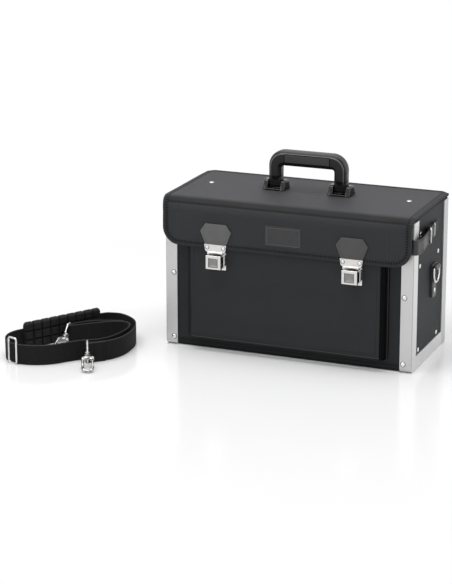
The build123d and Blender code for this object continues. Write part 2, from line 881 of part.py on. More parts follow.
# The shoulder strap: its centre line on the ground, from the front hook round to the rear hook
front_bar = (-300.0, -243.0)
rear_bar = (-370.6, -164.0)
pad_from = (-350.6, -76.0)
pad_to = (-438.8, -218.8)
webbing_route = [
    front_bar, (-289, -233), (-271, -215), (-261, -190), (-260, -160), (-265, -125),
    (-282, -90), (-315, -68), (-334, -70), pad_from, pad_to, (-447, -240), (-443, -266),
    (-427, -286), (-405, -295), (-375, -290), (-350, -275), (-333, -252), (-314, -231),
    (-292, -219), (-280, -200), (-273, -170), (-272, -138), (-280, -114), (-298, -109),
    (-320, -121), (-343, -142), rear_bar,
]
rear_leg = [rear_bar, (-368, -146), (-343, -123), (-315, -111), (-297, -106.4)]


def route_radii(points):
    """Each corner's radius: 0.45 of its shorter run over the tangent of half its turn."""
    radii = []
    for before, here, after in zip(points, points[1:], points[2:]):
        a = (here[0] - before[0], here[1] - before[1])
        b = (after[0] - here[0], after[1] - here[1])
        turn = abs(atan2(a[0] * b[1] - a[1] * b[0], a[0] * b[0] + a[1] * b[1]))
        shorter = min(hypot(*a), hypot(*b))
        radii.append(0.45 * shorter / max(0.02, sin(turn / 2) / cos(turn / 2)))
    return radii


def shoulder_webbing():
    """Flat webbing standing on its edge, with a sewn eye round each hook's bar."""
    eye_r = bail_wire_r + soft_gap + webbing_t
    ribbon = Sketch()
    for route in (webbing_route, rear_leg):
        ribbon += trace(FilletPolyline(*route, radius=route_radii(route)), webbing_t)
    for bar in (front_bar, rear_bar):
        ribbon += Pos(*bar) * Circle(eye_r)
    for bar in (front_bar, rear_bar):
        ribbon -= Pos(*bar) * Circle(bail_wire_r + soft_gap)
    webbing = extrude(ribbon, webbing_w)
    for bar in (front_bar, rear_bar):
        low = 2 * bail_wire_r + soft_gap + 0.2
        webbing -= Pos(*bar, low / 2) * Cylinder(8, low)
    return webbing


def pad_frame():
    """A plane at the pad's near corner: x along the pad, y out to its blocks, z up."""
    along = Vector(pad_to[0] - pad_from[0], pad_to[1] - pad_from[1], 0)
    return Plane(origin=(*pad_from, 0), x_dir=along, z_dir=(0, 0, 1)), along.length


def shoulder_pad():
    """The moulded pad: a backing with rows of raised blocks on the side towards the case."""
    plane, length = pad_frame()
    start = webbing_t / 2 + soft_gap
    low_x, high_x = pad_insets[0], length - pad_insets[1]
    pad = block((low_x, high_x), (start, start + pad_base_t), (0, pad_h))
    pad = fillet(pad.edges().filter_by(Axis.Y), 6.0)
    pitch_x = (high_x - low_x - 2) / pad_columns
    pitch_z = (pad_h - 2) / pad_rows
    for column in range(pad_columns):
        for row in range(pad_rows):
            x = low_x + 1 + (column + 0.5) * pitch_x
            z = 1 + (row + 0.5) * pitch_z
            y = start + pad_base_t
            base = Plane(origin=(x, y - 0.2, z), x_dir=(1, 0, 0), z_dir=(0, 1, 0))
            top = Plane(origin=(x, y + pad_block_t, z), x_dir=(1, 0, 0), z_dir=(0, 1, 0))
            wide = Rectangle(pitch_x - 1.8, pitch_z - 1.6)
            narrow = Rectangle(pitch_x - 4.2, pitch_z - 4.0)
            pad += loft([base * wide, top * narrow])
    return plane.location * pad


def strap_slider():
    """The wire slider: a tall rectangle standing against the webbing's outer face."""
    route = FilletPolyline(*webbing_route, radius=route_radii(webbing_route))
    along = route % slider_at
    out = Vector(along.Y, -along.X, 0)
    offset = webbing_t / 2 + soft_gap + slider_wire_r
    width, height = slider_size
    middle = (route @ slider_at) + out * offset
    corners = []
    for hand, z in ((-1, 0), (-1, 1), (1, 1), (1, 0)):
        point = middle + along * (hand * (width / 2 - slider_wire_r))
        corners.append((point.X, point.Y, slider_wire_r + z * (height - 2 * slider_wire_r)))
    return wire_loop(corners, 4.0, slider_wire_r)


class HookPlace:
    """Where one snap hook lies: its bar, its heading on the ground, the swivel's height and tilt."""

    def __init__(self, bar, heading, apex_z, tilt):
        self.bar, self.apex_z, self.tilt = bar, apex_z, tilt
        self.along = Vector(cos(radians(heading)), sin(radians(heading)), 0)
        self.apex = Vector(*bar, 0) + self.along * bail_reach + Vector(0, 0, apex_z)
        axis = self.along * cos(radians(tilt)) + Vector(0, 0, sin(radians(tilt)))
        self.axis = axis
        across = Vector(0, 0, 1).cross(self.along)
        self.plane = Plane(origin=self.apex, x_dir=axis, z_dir=axis.cross(across))


bail_reach = 17.0
bail_h = webbing_w + 2 * bail_wire_r + 1.4
boss_r = 4.6
boss_t = 2 * bail_wire_r + 0.2
front_hook = HookPlace(front_bar, -64.0, 20.6, -24.0)
rear_hook = HookPlace(rear_bar, -92.0, 21.0, -24.0)


def hook_bail(place):
    """The bail: a wire loop through the webbing's eye, with a boss that the swivel turns in."""
    low, high = bail_wire_r + 0.2, bail_h - bail_wire_r + 0.2
    step = place.plane.z_dir * (stud_head_r + bail_wire_r + 0.3)
    bar = Vector(*place.bar, 0)
    corners = [
        bar + Vector(0, 0, low),
        bar + Vector(0, 0, high),
        bar + Vector(0, 0, high) + place.along * (bail_reach / 2),
        place.apex + step,
        place.apex - step,
    ]
    if place.apex_z - step.Z > low + 2 * bail_wire_r:
        corners.append(bar + Vector(0, 0, low) + place.along * (bail_reach / 3))
    points = [tuple(corner) for corner in corners]
    bail = wire_loop(points, 1.9, bail_wire_r)
    boss = place.plane.location * (Rot(0, 90, 0) * Cylinder(boss_r, boss_t))
    bore = place.plane.location * (Rot(0, 90, 0) * Cylinder(stud_r + pin_fit, boss_t * 4))
    return bail + boss - bore


def snap_hook(place):
    """The cast hook: swivel stud with a head inside the bail, forked root, and the open ring."""
    start = boss_t / 2 + 0.3
    stud = Rot(0, 90, 0) * Cylinder(stud_r, boss_t + 3)
    head = Pos(-boss_t / 2 - 0.3 - 0.8, 0, 0) * Rot(0, 90, 0) * Cylinder(stud_head_r, 1.6)
    collar = Pos(start + 2.5, 0, 0) * Rot(0, 90, 0) * Cylinder(boss_r - 0.4, 5)
    wire = 4.4
    line_y = hook_half_w - wire / 2
    root_x = start + 5
    end_x = start + hook_length
    root = block(
        (root_x - 1, root_x + 9), (-line_y - wire / 2, line_y + wire / 2), (-hook_thick / 2, hook_thick / 2)
    )
    root = fillet(root.edges().filter_by(Axis.Z), 3.0)
    side = Line((root_x + 6, -line_y), (end_x - line_y - wire / 2, -line_y))
    bow = CenterArc((end_x - line_y - wire / 2, 0), line_y, -90, 180)
    nose = Line((end_x - line_y - wire / 2, line_y), (end_x - line_y - wire / 2 - 3, line_y))
    ring = extrude(trace(Curve() + [side, bow, nose], wire), hook_thick / 2, both=True)
    hook = stud + head + collar + root + ring
    gate_x = root_x + 4.5
    hook -= block((gate_x - 3.6, root_x + 12), (line_y - 5.4, line_y + 6), (-1.8, 1.8))
    pin = Pos(gate_x, line_y, 0) * Cylinder(gate_pin_r, hook_thick)
    hook -= Pos(gate_x, line_y, 0) * Cylinder(gate_pin_r, hook_thick + 2)
    return place.plane.location * Compound([hook, pin])


gate_pin_r = 1.1


def snap_gate(place):
    """The sprung gate: an eye on the pin and a lever that closes the ring's mouth."""
    start = boss_t / 2 + 0.3
    wire = 4.4
    line_y = hook_half_w - wire / 2
    root_x = start + 5
    gate_x = root_x + 4.5
    end_x = start + hook_length - line_y - wire / 2 - 3 - 0.4
    eye = Pos(gate_x, line_y, 0) * Cylinder(2.9, 3.0)
    lever = block((gate_x, end_x), (line_y - 1.5, line_y + 1.5), (-1.5, 1.5))
    gate = eye + lever - Pos(gate_x, line_y, 0) * Cylinder(gate_pin_r + pin_fit, 6)
    return place.plane.location * gate


def build():
    """Every node of the bag, by name."""
    nodes = {
        "base_board": base_board(),
        "base_sheet": base_sheet(),
        "front_wall": wall(-1),
        "rear_wall": wall(1),
        "front_pocket": front_pocket(),
        "frame_rivets": frame_rivets(),
        "side_rivets": side_rivets(),
        "tab_rivets": tab_rivets(),
        "divider_front": divider(divider_ys[0]),
        "divider_rear": divider(divider_ys[1]),
        "hinge_strip": hinge_strip(),
        "lid_skin": lid_skin(),
        "lid_board": lid_board(),
        "lid_binding": lid_binding(),
        "lid_rivets": lid_rivets(),
        "tongue_rivets": tongue_rivets(),
        "label_patch": label_patch(),
        "handle": handle(),
        "handle_grip": handle_grip(),
        "shoulder_webbing": shoulder_webbing(),
        "shoulder_pad": shoulder_pad(),
        "strap_slider": strap_slider(),
        "hook_bail_front": hook_bail(front_hook),
        "hook_bail_rear": hook_bail(rear_hook),
        "snap_hook_front": snap_hook(front_hook),
        "snap_hook_rear": snap_hook(rear_hook),
        "snap_gate_front": snap_gate(front_hook),
        "snap_gate_rear": snap_gate(rear_hook),
    }
    pairs = {
        "edge_frame": edge_frame(),
        "side_panel": side_panel(),
        "divider_channels": Compound([divider_channel(y) for y in divider_ys]),
        "latch_patch": latch_patch(),
        "lock_tongue": lock_tongue(),
        "lock_case": lock_case_piece(),
        "lock_button": lock_button(),
        "handle_bracket": handle_bracket(),
        "handle_pin": handle_pin(),
        "side_strap": side_strap(),
        "strap_chape": strap_chape(),
        "strap_buckle": strap_buckle(),
        "buckle_prong": buckle_prong(),
        "strap_keeper": strap_keeper(),
        "ring_tab": ring_tab(),
        "d_ring": d_ring(),
    }
    for name, shape in pairs.items():
        nodes[name + "_right"] = shape
        nodes[name + "_left"] = mirrored(shape)
    return nodes


os.makedirs("parts", exist_ok=True)
for name, shape in build().items():
    export_step(shape, f"parts/{name}.step")
print("webbing corner radii", [round(r) for r in route_radii(webbing_route)])
print("hinge", hinge_y, hinge_z, "skin outer", skin_outer, "pocket front", pocket_front)
print("ring bar", ring_bar, "buckle bar", buckle_bar_x, buckle_bar_y)
for label, place in (("front", front_hook), ("rear", rear_hook)):
    print(label, "apex", place.apex, "axis", place.axis, "normal", place.plane.z_dir)
for label, place in (("front", front_hook), ("rear", rear_hook)):
    pin = place.plane.from_local_coords(Vector(boss_t / 2 + 0.3 + 9.5, hook_half_w - 2.2, 0))
    print(label, "gate pin", pin)
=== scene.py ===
import math

import bpy
import bmesh
import numpy as np
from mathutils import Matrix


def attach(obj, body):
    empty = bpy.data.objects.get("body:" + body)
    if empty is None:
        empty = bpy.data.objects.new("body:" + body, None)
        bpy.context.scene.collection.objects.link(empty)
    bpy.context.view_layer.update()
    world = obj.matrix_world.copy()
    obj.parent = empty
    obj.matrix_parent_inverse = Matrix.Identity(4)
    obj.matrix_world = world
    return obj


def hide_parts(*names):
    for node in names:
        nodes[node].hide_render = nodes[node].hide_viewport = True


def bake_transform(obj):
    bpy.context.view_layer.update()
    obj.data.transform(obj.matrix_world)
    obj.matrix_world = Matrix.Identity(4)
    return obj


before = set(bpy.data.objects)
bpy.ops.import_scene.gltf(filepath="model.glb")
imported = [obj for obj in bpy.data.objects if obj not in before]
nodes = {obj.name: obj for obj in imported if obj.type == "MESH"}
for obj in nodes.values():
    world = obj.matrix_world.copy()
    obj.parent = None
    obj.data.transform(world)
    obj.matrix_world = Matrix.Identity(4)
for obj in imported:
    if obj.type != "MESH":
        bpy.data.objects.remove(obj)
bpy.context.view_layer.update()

mm = 0.001

# Directions, and the levels in millimetres that several parts share. The case is centred on the
# frame's upright axis, so a wall's, a frame's, the pocket's and the flap's faces each lie at their
# distance in front of it, and at the same distance behind it where there is one. A flat piece is
# laid on the front or on the right side by three axes: across, up and out of that face.
rightward = (1, 0, 0)
rearward = (0, 1, 0)
upward = (0, 0, 1)
forward = (0, -1, 0)
on_front = (rightward, upward, forward)
on_side = (rearward, upward, rightward)
sides = {"right": 1, "left": -1}
wall_y = 95.0
frame_y = 97.0
pocket_y = 112.0
flap_y = 116.0
side_x = 218.0
lock_x = 120.0
lid_top = 266.0


# The camera stands to the right of the bag's front and a little above it, far off, with a long
# lens. The shift puts the bag low in the picture, as it stands in the photograph.
camera = bpy.data.objects.new("camera", bpy.data.cameras.new("camera"))
bpy.context.scene.collection.objects.link(camera)
camera.location = (1.1540, -3.2014, 1.0993)
camera.rotation_euler = (math.radians(90 - 14.898), 0, math.radians(22.145))
camera.data.lens = 127.41
camera.data.sensor_width = 36
camera.data.shift_y = -0.101
camera.data.clip_end = 60
bpy.context.scene.camera = camera
bpy.context.scene.view_settings.view_transform = "Standard"


# The finishes. A Value is one number over a surface, and Python's operators on it add Math nodes.
# A Graph is a tree of nodes, and a Finish is one material's, with its Principled shader.
class Value:
    """A socket's number: each sum or product with it adds the node that works it out."""

    def __init__(self, graph, socket):
        self.graph = graph
        self.socket = socket

    def maths(self, operation, *others):
        inputs = dict(enumerate((self, *others)))
        return self.graph.node("ShaderNodeMath", {"operation": operation}, inputs)

    def __add__(self, other):
        return self.maths("ADD", other)

    def __sub__(self, other):
        return self.maths("SUBTRACT", other)

    def __rsub__(self, other):
        return self.maths("MULTIPLY", -1.0) + other

    def __mul__(self, other):
        return self.maths("MULTIPLY", other)

    def __abs__(self):
        return self.maths("ABSOLUTE")

    __radd__ = __add__
    __rmul__ = __mul__

    def wave(self, pitch):
        """A sine from -1 to 1 that repeats every pitch metres."""
        return (self * (2 * math.pi / pitch)).maths("SINE")

    def step(self, low, high):
        """0 below low, 1 above high, and a smooth rise between them."""
        settings = {"interpolation_type": "SMOOTHSTEP"}
        inputs = {"Value": self, "From Min": low, "From Max": high}
        return self.graph.node("ShaderNodeMapRange", settings, inputs)

    def near(self, middle, half, soft):
        """1 within half of the middle, falling to 0 over the next soft metres."""
        return 1 - abs(self - middle).step(half, half + soft)


class Graph:
    """A tree of nodes: node() adds any node, with its settings first and then its sockets."""

    def __init__(self, tree):
        self.tree = tree

    def plug(self, node, inputs):
        for key, value in inputs.items():
            if isinstance(value, Value):
                self.tree.links.new(value.socket, node.inputs[key])
            else:
                node.inputs[key].default_value = value

    def node(self, kind, settings=None, inputs=None, output=0):
        made = self.tree.nodes.new(kind)
        for key, value in (settings or {}).items():
            setattr(made, key, value)
        self.plug(made, inputs or {})
        return Value(self, made.outputs[output])

    def axes(self, vector):
        """The three numbers of a vector."""
        first = self.node("ShaderNodeSeparateXYZ", {}, {0: vector})
        return [Value(self, out) for out in first.socket.node.outputs]

    def mix(self, share, first, second):
        """The first colour where share is 0, and the second where it is 1."""
        return self.node("ShaderNodeMix", {"data_type": "RGBA"}, {0: share, 6: first, 7: second}, 2)


class Finish(Graph):
    """One material: a Principled shader and the nodes that vary what it shows."""

    def __init__(self, name, **sockets):
        self.material = bpy.data.materials.new(name)
        self.material.use_nodes = True
        super().__init__(self.material.node_tree)
        self.shader = self.tree.nodes["Principled BSDF"]
        self.plug(self.shader, {k.replace("_", " "): v for k, v in sockets.items()})
        self.here = self.node("ShaderNodeTexCoord", output="Object")

    def place(self):
        """Where a point is: its x, y and z in metres."""
        return self.axes(self.here)

    def cloth(self):
        """Across and along the piece's own cloth, in metres."""
        return self.axes(self.node("ShaderNodeTexCoord", output="UV"))[:2]

    def texture(self, kind, size, stretch=(1, 1, 1), **inputs):
        """A solid texture whose pattern is about that size in metres."""
        vector = {0: self.here, 1: tuple(k / size for k in stretch)}
        scaled = self.node("ShaderNodeVectorMath", {"operation": "MULTIPLY"}, vector)
        return self.node(kind, {}, {"Vector": scaled, "Scale": 1.0, **inputs})

    def noise(self, size, detail=2.0, stretch=(1, 1, 1)):
        """Soft random spots, from 0 to 1."""
        return self.texture("ShaderNodeTexNoise", size, stretch, Detail=detail)

    def cells(self, size):
        """Distance to the nearest cell's middle, as leather grain has, from 0 to about 1."""
        return self.texture("ShaderNodeTexVoronoi", size)

    def wear(self, colour, roughness=None, height=None, depth=0.0):
        """Links what varies: the colour alone, or also roughness, and a height as a bump."""
        inputs = {"Base Color": colour}
        if height is not None:
            bump = {"Height": height, "Distance": depth, "Strength": 1.0}
            inputs["Normal"] = self.node("ShaderNodeBump", {}, bump)
            inputs["Roughness"] = roughness
        self.plug(self.shader, inputs)
        return self


def grey(level, warm=0.0, plum=0.0):
    """A grey as written on screen, 0 to 255, turned to the linear colour that shaders take. Warm
    moves it towards orange and plum towards purple, both in the same levels."""
    tone = [level + warm + plum, level, level - warm + plum]
    return (*[((c / 255 + 0.055) / 1.055) ** 2.4 if c > 10 else c / 255 / 12.92 for c in tone], 1)


# The room: a pale floor with a faint polish that shows the bag's foot, a white world behind, a
# broad soft light overhead and weaker ones at the right and the left.
def floor_finish():
    """Near the bag the floor takes shade and a weak reflection; further out it is plain white."""
    paint = Finish("floor_paint", Roughness=0.16, IOR=1.33)
    x, y, _ = paint.place()
    paint.wear(paint.mix(paint.noise(0.4), grey(249), grey(252)))
    far = ((x + 0.08).maths("POWER", 2.0) + (y + 0.06).maths("POWER", 2.0)).maths("SQRT")
    glow = paint.node("ShaderNodeEmission", {}, {"Color": (1, 1, 1, 1), "Strength": 1.0})
    shaded = Value(paint, paint.shader.outputs[0])
    blend = paint.node("ShaderNodeMixShader", {}, {0: far.step(0.36, 0.85), 1: shaded, 2: glow})
    paint.plug(paint.tree.nodes["Material Output"], {"Surface": blend})
    return paint


floor_mesh = bpy.data.meshes.new("floor")
floor_mesh.from_pydata([(-7, -7, 0), (7, -7, 0), (7, 7, 0), (-7, 7, 0)], [], [(0, 1, 2, 3)])
floor = bpy.data.objects.new("floor", floor_mesh)
bpy.context.scene.collection.objects.link(floor)
floor.data.materials.append(floor_finish().material)

world = bpy.data.worlds.new("white_room")
world.use_nodes = True
bpy.context.scene.world = world
room = Graph(world.node_tree)
path = room.node("ShaderNodeLightPath")
rays = {out.name: Value(room, out) for out in path.socket.node.outputs}
seen = rays["Is Camera Ray"] + rays["Is Glossy Ray"] + rays["Is Transmission Ray"]
seen = seen.maths("MINIMUM", 1.0)
room.plug(room.tree.nodes["Background"], {"Color": (1, 1, 1, 1), "Strength": 0.45 + 0.55 * seen})


def soft_light(name, place, aim, size, power):
    """A square lamp at a place, facing the point aimed at."""
    lamp = bpy.data.objects.new(name, bpy.data.lights.new(name, "AREA"))
    lamp.data.shape = "SQUARE"
    lamp.data.size = size
    lamp.data.energy = power
    away = np.array(place) - np.array(aim)
    flat = math.hypot(away[0], away[1])
    lamp.location = place
    lamp.rotation_euler = (math.atan2(flat, away[2]), 0, math.atan2(away[0], -away[1]))
    bpy.context.scene.collection.objects.link(lamp)


soft_light("overhead", (-0.3, -0.5, 2.4), (0, 0, 0.1), 2.2, 44)
soft_light("right_side", (2.4, 0.2, 1.1), (0, 0, 0.15), 1.6, 13)
soft_light("front_left", (-1.8, -2.2, 1.2), (0, 0, 0.15), 1.4, 9)


# Shapes. A shell is rings of points in millimetres with the quads between them; a piece joins
# shells into one object, gives it a finish, and lets it ride on a body in place of the CAD nodes it
# stands for.
def shell(rings, closed=False, cloth=None):
    """A closed surface over rings of points: its first and last ring are capped, or they meet."""
    rows, columns = rings.shape[:2]
    down = np.arange(rows + closed) % rows
    across = np.arange(columns + 1) % columns
    number = down[:, None] * columns + across

    def corners(grid):
        ring = [grid[:-1, :-1], grid[1:, :-1], grid[1:, 1:], grid[:-1, 1:]]
        return np.stack(ring, -1).reshape(-1, 4)

    faces = corners(number).tolist()
    if cloth is None:
        cloth = np.zeros((*number.shape, 2))
    places = cloth.reshape(-1, 2)[corners(np.arange(number.size).reshape(number.shape))]
    places = places.reshape(-1, 2)
    if not closed:
        faces += number[[0, -1], :columns].tolist()
        places = np.vstack([places, np.zeros((2 * columns, 2))])
    return rings.reshape(-1, 3), faces, places


def piece(name, shells, body, finish, stands_for=(), slot=None, crease=35):
    """One object from closed shells, its faces turned outwards and its creases kept sharp."""
    starts = np.cumsum([0] + [len(points) for points, _, _ in shells])
    faces = []
    for start, (_, some, _) in zip(starts, shells):
        faces += [[int(start) + corner for corner in face] for face in some]
    mesh = bpy.data.meshes.new(name)
    mesh.from_pydata((np.vstack([points for points, _, _ in shells]) * mm).tolist(), [], faces)
    layer = mesh.uv_layers.new(name="cloth")
    layer.data.foreach_set("uv", np.vstack([p for _, _, p in shells]).astype(np.float32).ravel())
    shape = bmesh.new()
    shape.from_mesh(mesh)
    bmesh.ops.recalc_face_normals(shape, faces=shape.faces)
    shape.to_mesh(mesh)
    shape.free()
    mesh.shade_smooth()
    mesh.set_sharp_from_angle(angle=math.radians(crease))
    made = bpy.data.objects.new(name, mesh)
    bpy.context.scene.collection.objects.link(made)
    mesh.materials.append(finish.material)
    if body:
        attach(made, body)
    if stands_for:
        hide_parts(*stands_for)
    return made


def both_sides(*pieces):
    """Pieces on the right and their mirror images on the left. Each is what piece() takes, except
    that one node's name stands for the list, and that the side goes where a * stands."""
    for side, hand in sides.items():
        for name, shells, body, finish, *more in pieces:
            flipped = [(points * (hand, 1, 1), faces, cloth) for points, faces, cloth in shells]
            node = [stood_for.replace("*", side) for stood_for in more[:1]]
            body = body.replace("*", side)
            piece(name.replace("*", side), flipped, body, finish, node, *more[1:])


def coat(finish, *names):
    """One of these finishes on CAD nodes that keep their own shape."""
    for name in names:
        nodes[name].data.materials[0] = finish.material


def unit(vectors):
    return vectors / np.maximum(np.linalg.norm(vectors, axis=-1, keepdims=True), 1e-9)


def smooth(share):
    """0 below 0, 1 above 1, and 3t^2-2t^3 between."""
    share = np.clip(share, 0, 1)
    return share * share * (3 - 2 * share)


def stacked(x, y, z):
    """Points from their three coordinates, each spread over the same rows and columns."""
    return np.stack(np.broadcast_arrays(x, y, z), -1)


def lengths(path):
    """Distance along a path at each of its points."""
    return np.concatenate([[0], np.cumsum(np.linalg.norm(np.diff(path, axis=0), axis=1))])


def sampled(values, along, stops):
    """Rows of values known at distances along a path, read at other distances."""
    return np.stack([np.interp(stops, along, column) for column in values.T], -1)


def resample(path, step):
    """The same path with points about a step apart."""
    path = np.asarray(path, float)
    along = lengths(path)
    return sampled(path, along, np.linspace(0, along[-1], max(2, round(along[-1] / step) + 1)))


def doubled(half, axis):
    """A line joined to its mirror image, in which one coordinate has the other sign."""
    half = np.array(half, float)
    mirror = np.ones(half.shape[1])
    mirror[axis] = -1
    return np.vstack([half, half[::-1] * mirror])


def rounded(corners, radii, closed=False, steps=7):
    """A line through corners, each turned on an arc of its radius."""
    corners = np.asarray(corners, float)
    if closed:
        corners = np.vstack([corners[-1:], corners, corners[:1]])
    radii = np.broadcast_to(radii, len(corners) - 2)
    path = []
    for before, here, after, radius in zip(corners, corners[1:], corners[2:], radii):
        back, on = unit(before - here), unit(after - here)
        half = math.acos(max(-1, min(1, float(back @ on)))) / 2
        middle = here + unit(back + on) * radius / math.sin(half)
        first = here + back * radius / math.tan(half) - middle
        last = here + on * radius / math.tan(half) - middle
        turn = math.pi - 2 * half
        t = np.linspace(0, 1, steps)[:, None]
        path.append(middle + (np.sin((1 - t) * turn) * first + np.sin(t * turn) * last) / math.sin(turn))
    return np.vstack(path if closed else [corners[:1], *path, corners[-1:]])


def carried(path, profile, up, closed=False):
    """A profile of (sideways, upwards) points carried along a path and kept level with up."""
    ahead = unit(np.roll(path, -1, 0) - np.roll(path, 1, 0) if closed else np.gradient(path, axis=0))
    side = unit(np.cross(ahead, up))
    lift = np.cross(side, ahead)
    profile = np.broadcast_to(profile, (len(path), *profile.shape[-2:]))
    return path[:, None] + profile[..., :1] * side[:, None] + profile[..., 1:] * lift[:, None]


def ring_profile(radius, count=12):
    """A circle's points."""
    turn = np.arange(count) * 2 * np.pi / count
    return np.stack([np.cos(turn), np.sin(turn)], -1) * radius


def wire(path, radius, up, closed=True, count=12):
    """Round wire along a path, of one radius or of one for each of its points."""
    profile = ring_profile(1.0, count) * np.reshape(radius, (-1, 1, 1))
    return shell(carried(path, profile, up, closed), closed)


def placed(points, origin, across, up, out):
    """Points given across, up and out from an origin, moved to where those three axes lie."""
    axes = np.array([across, up, out], float)
    return np.asarray(points) @ axes + np.asarray(origin, float)


def lathe(stations, count=20, origin=(0, 0, 0), axes=(rightward, rearward, upward), closed=False):
    """A solid turned about the last of three axes: (radius, distance along it) at each station."""
    radius, reach = np.asarray(stations, float).T[..., None]
    around = ring_profile(1.0, count)
    rings = stacked(radius * around[:, 0], radius * around[:, 1], reach)
    return shell(placed(rings, origin, *axes), closed)


def inwards(outline):
    """The direction towards the inside at each point of a closed flat line."""
    ahead = np.roll(outline, -1, 0) - np.roll(outline, 1, 0)
    x, y = outline.T
    area = np.sum(x * np.roll(y, -1) - np.roll(x, -1) * y)
    return unit(np.stack([-ahead[:, 1], ahead[:, 0]], -1)) * np.sign(area)


def plate(outline, thickness, edge, crown=0.0, foot=0.0):
    """A flat piece: the outline going up, drawn in round a quarter circle at its edge, and a top
    that rises by the crown towards the middle. The foot rounds the lower edge in the same way."""
    inward = inwards(outline)
    turn = np.linspace(0, np.pi / 2, 5)
    inset = list(foot * (1 - np.sin(turn))) if foot else [0.0]
    height = list(foot * (1 - np.cos(turn))) if foot else [0.0]
    inset += list(edge * (1 - np.cos(turn)))
    height += list(thickness - edge + edge * np.sin(turn))
    level = np.ones(len(outline))
    rings = [np.column_stack([outline + inward * d, level * z]) for d, z in zip(inset, height)]
    if crown:
        top = rings[-1][:, :2]
        centre = top.mean(0)
        for share in (0.85, 0.65, 0.4, 0.15):
            rise = thickness + crown * (1 - share**2)
            rings.append(np.column_stack([centre + (top - centre) * share, level * rise]))
    return np.array(rings)


def band(outline, thickness, edge, origin, across, up, out):
    """A flat piece laid on a face."""
    return shell(placed(plate(outline, thickness, edge), origin, across, up, out))


def box_outline(width, height, radius, x=0.0, y=0.0):
    """A rectangle with round corners, about a middle."""
    low_x, high_x = x - width / 2, x + width / 2
    low_y, high_y = y - height / 2, y + height / 2
    square = [(low_x, low_y), (high_x, low_y), (high_x, high_y), (low_x, high_y)]
    return rounded(square, radius, True, 5)


def two_sided(face, back):
    """A shell from a front and a back grid of the same size, closed all round."""
    return shell(np.concatenate([face, back[:, ::-1]], 1))


def copies(template, origins, across, up, out):
    """One small shell set down many times, each by its own origin and three axes."""
    points, faces, places = template
    axes = np.stack([across, up, out], 1)
    spread = origins[:, None] + np.einsum("pk,nkc->npc", points, axes)
    offset = np.arange(len(origins)) * len(points)
    many = [[corner + shift for corner in face] for shift in offset.tolist() for face in faces]
    return spread.reshape(-1, 3), many, np.tile(places, (len(origins), 1))


def stitches(path, normals, pitch=4.5, long=2.7, thick=0.72, lift=0.15, across=False):
    """A row of stitches: small pointed grains that lie along a path, or across it, and stand a
    little proud of a face with one normal or with one for each of the path's points."""
    path = np.asarray(path, float)
    normals = np.broadcast_to(np.asarray(normals, float), path.shape)
    along = lengths(path)
    stops = np.arange(pitch / 2, along[-1], pitch)
    spots = sampled(path, along, stops)
    out = unit(sampled(normals, along, stops))
    ahead = unit(sampled(path, along, stops + 0.5) - sampled(path, along, stops - 0.5))
    side = unit(np.cross(out, ahead))
    if across:
        ahead, side = side, -ahead
    reach = np.array([-1, -0.8, 0, 0.8, 1.0])[:, None] * long / 2
    width = np.array([0.15, 0.75, 1.0, 0.75, 0.15])[:, None]
    ring = ring_profile(thick, 6)
    grain = stacked(reach, width * ring[:, 0], width * ring[:, 1] * 0.8)
    return copies(shell(grain), spots + out * lift, ahead, side, out)


# Shoulder strap: flat black polyester webbing, 35 mm wide, standing on its edge in loose loops.
# Each end is folded round a hook's bar and sewn back on itself.
webbing_w = 35.0
webbing_t = 1.8
fold_r = 2.95
front_bar = np.array((-300.0, -243.0))
rear_bar = np.array((-370.6, -164.0))
strap_route = np.array([
    (-289, -233), (-271, -215), (-261, -190), (-260, -160), (-265, -125), (-282, -90), (-315, -68),
    (-334, -70), (-350.6, -76), (-438.8, -218.8), (-447, -240), (-443, -266), (-427, -286),
    (-405, -295), (-375, -290), (-350, -275), (-333, -252), (-314, -231), (-292, -219),
    (-280, -200), (-273, -170), (-272, -138), (-280, -114), (-298, -109), (-320, -121), (-343, -142),
])
strap_end = np.array([(-368, -146), (-343, -123), (-315, -111), (-297, -106.4)])


def folded(before, bar, after, steps):
    """Points round a bar, clockwise, from the heading of the run that comes to it to the heading of
    the run that leaves it."""
    came = math.atan2(*(bar - before)[::-1])
    sweep = (came - math.atan2(*(after - bar)[::-1])) % (2 * math.pi)
    turn = came + math.pi / 2 - np.linspace(0, sweep, steps)
    return bar + fold_r * np.stack([np.cos(turn), np.sin(turn)], -1)


def smooth_line(corners, steps=8):
    """A line that touches the middle of each run and is parallel to it there: between two middles
    it is the corner's mix (1-t)^2/2, 1/2+t-t^2, t^2/2 of the corners before, at and after."""
    t = np.linspace(0, 1, steps, endpoint=False)[:, None]
    before, here, after = corners[:-2, None], corners[1:-1, None], corners[2:, None]
    curve = 0.5 * (1 - t) ** 2 * before + (0.5 + t - t * t) * here + 0.5 * t * t * after
    return np.vstack([corners[:1], curve.reshape(-1, corners.shape[1]), corners[-1:]])


leg = unit(strap_route[0] - front_bar)
leg_side = np.array([leg[1], -leg[0]])
next_leg = unit(strap_route[1] - strap_route[0])
sewn_end = strap_route[0] + 1.95 * np.array([next_leg[1], -next_leg[0]])
strap_corners = np.vstack([
    sewn_end + 15 * next_leg,
    sewn_end + 4 * next_leg,
    front_bar + 10 * leg + 2.1 * leg_side,
    folded(front_bar + leg, front_bar, front_bar + leg, 8),
    strap_route,
    folded(strap_route[-1], rear_bar, strap_end[0], 6),
    strap_end,
])
strap_line = resample(smooth_line(strap_corners), 2.0)


def strap_profile():
    """The webbing's section: two flat faces and round edges, as (sideways, upwards) points."""
    edge = np.linspace(-np.pi / 2, np.pi / 2, 7)
    half_t, half_w = webbing_t / 2, webbing_w / 2
    rim = np.stack([np.sin(edge) * half_t, half_w - 0.7 + 0.7 * np.cos(edge)], -1)
    flat = np.stack([np.full(11, half_t), np.linspace(half_w - 2, -half_w + 2, 11)], -1)
    return np.vstack([rim, flat, -rim, -flat])


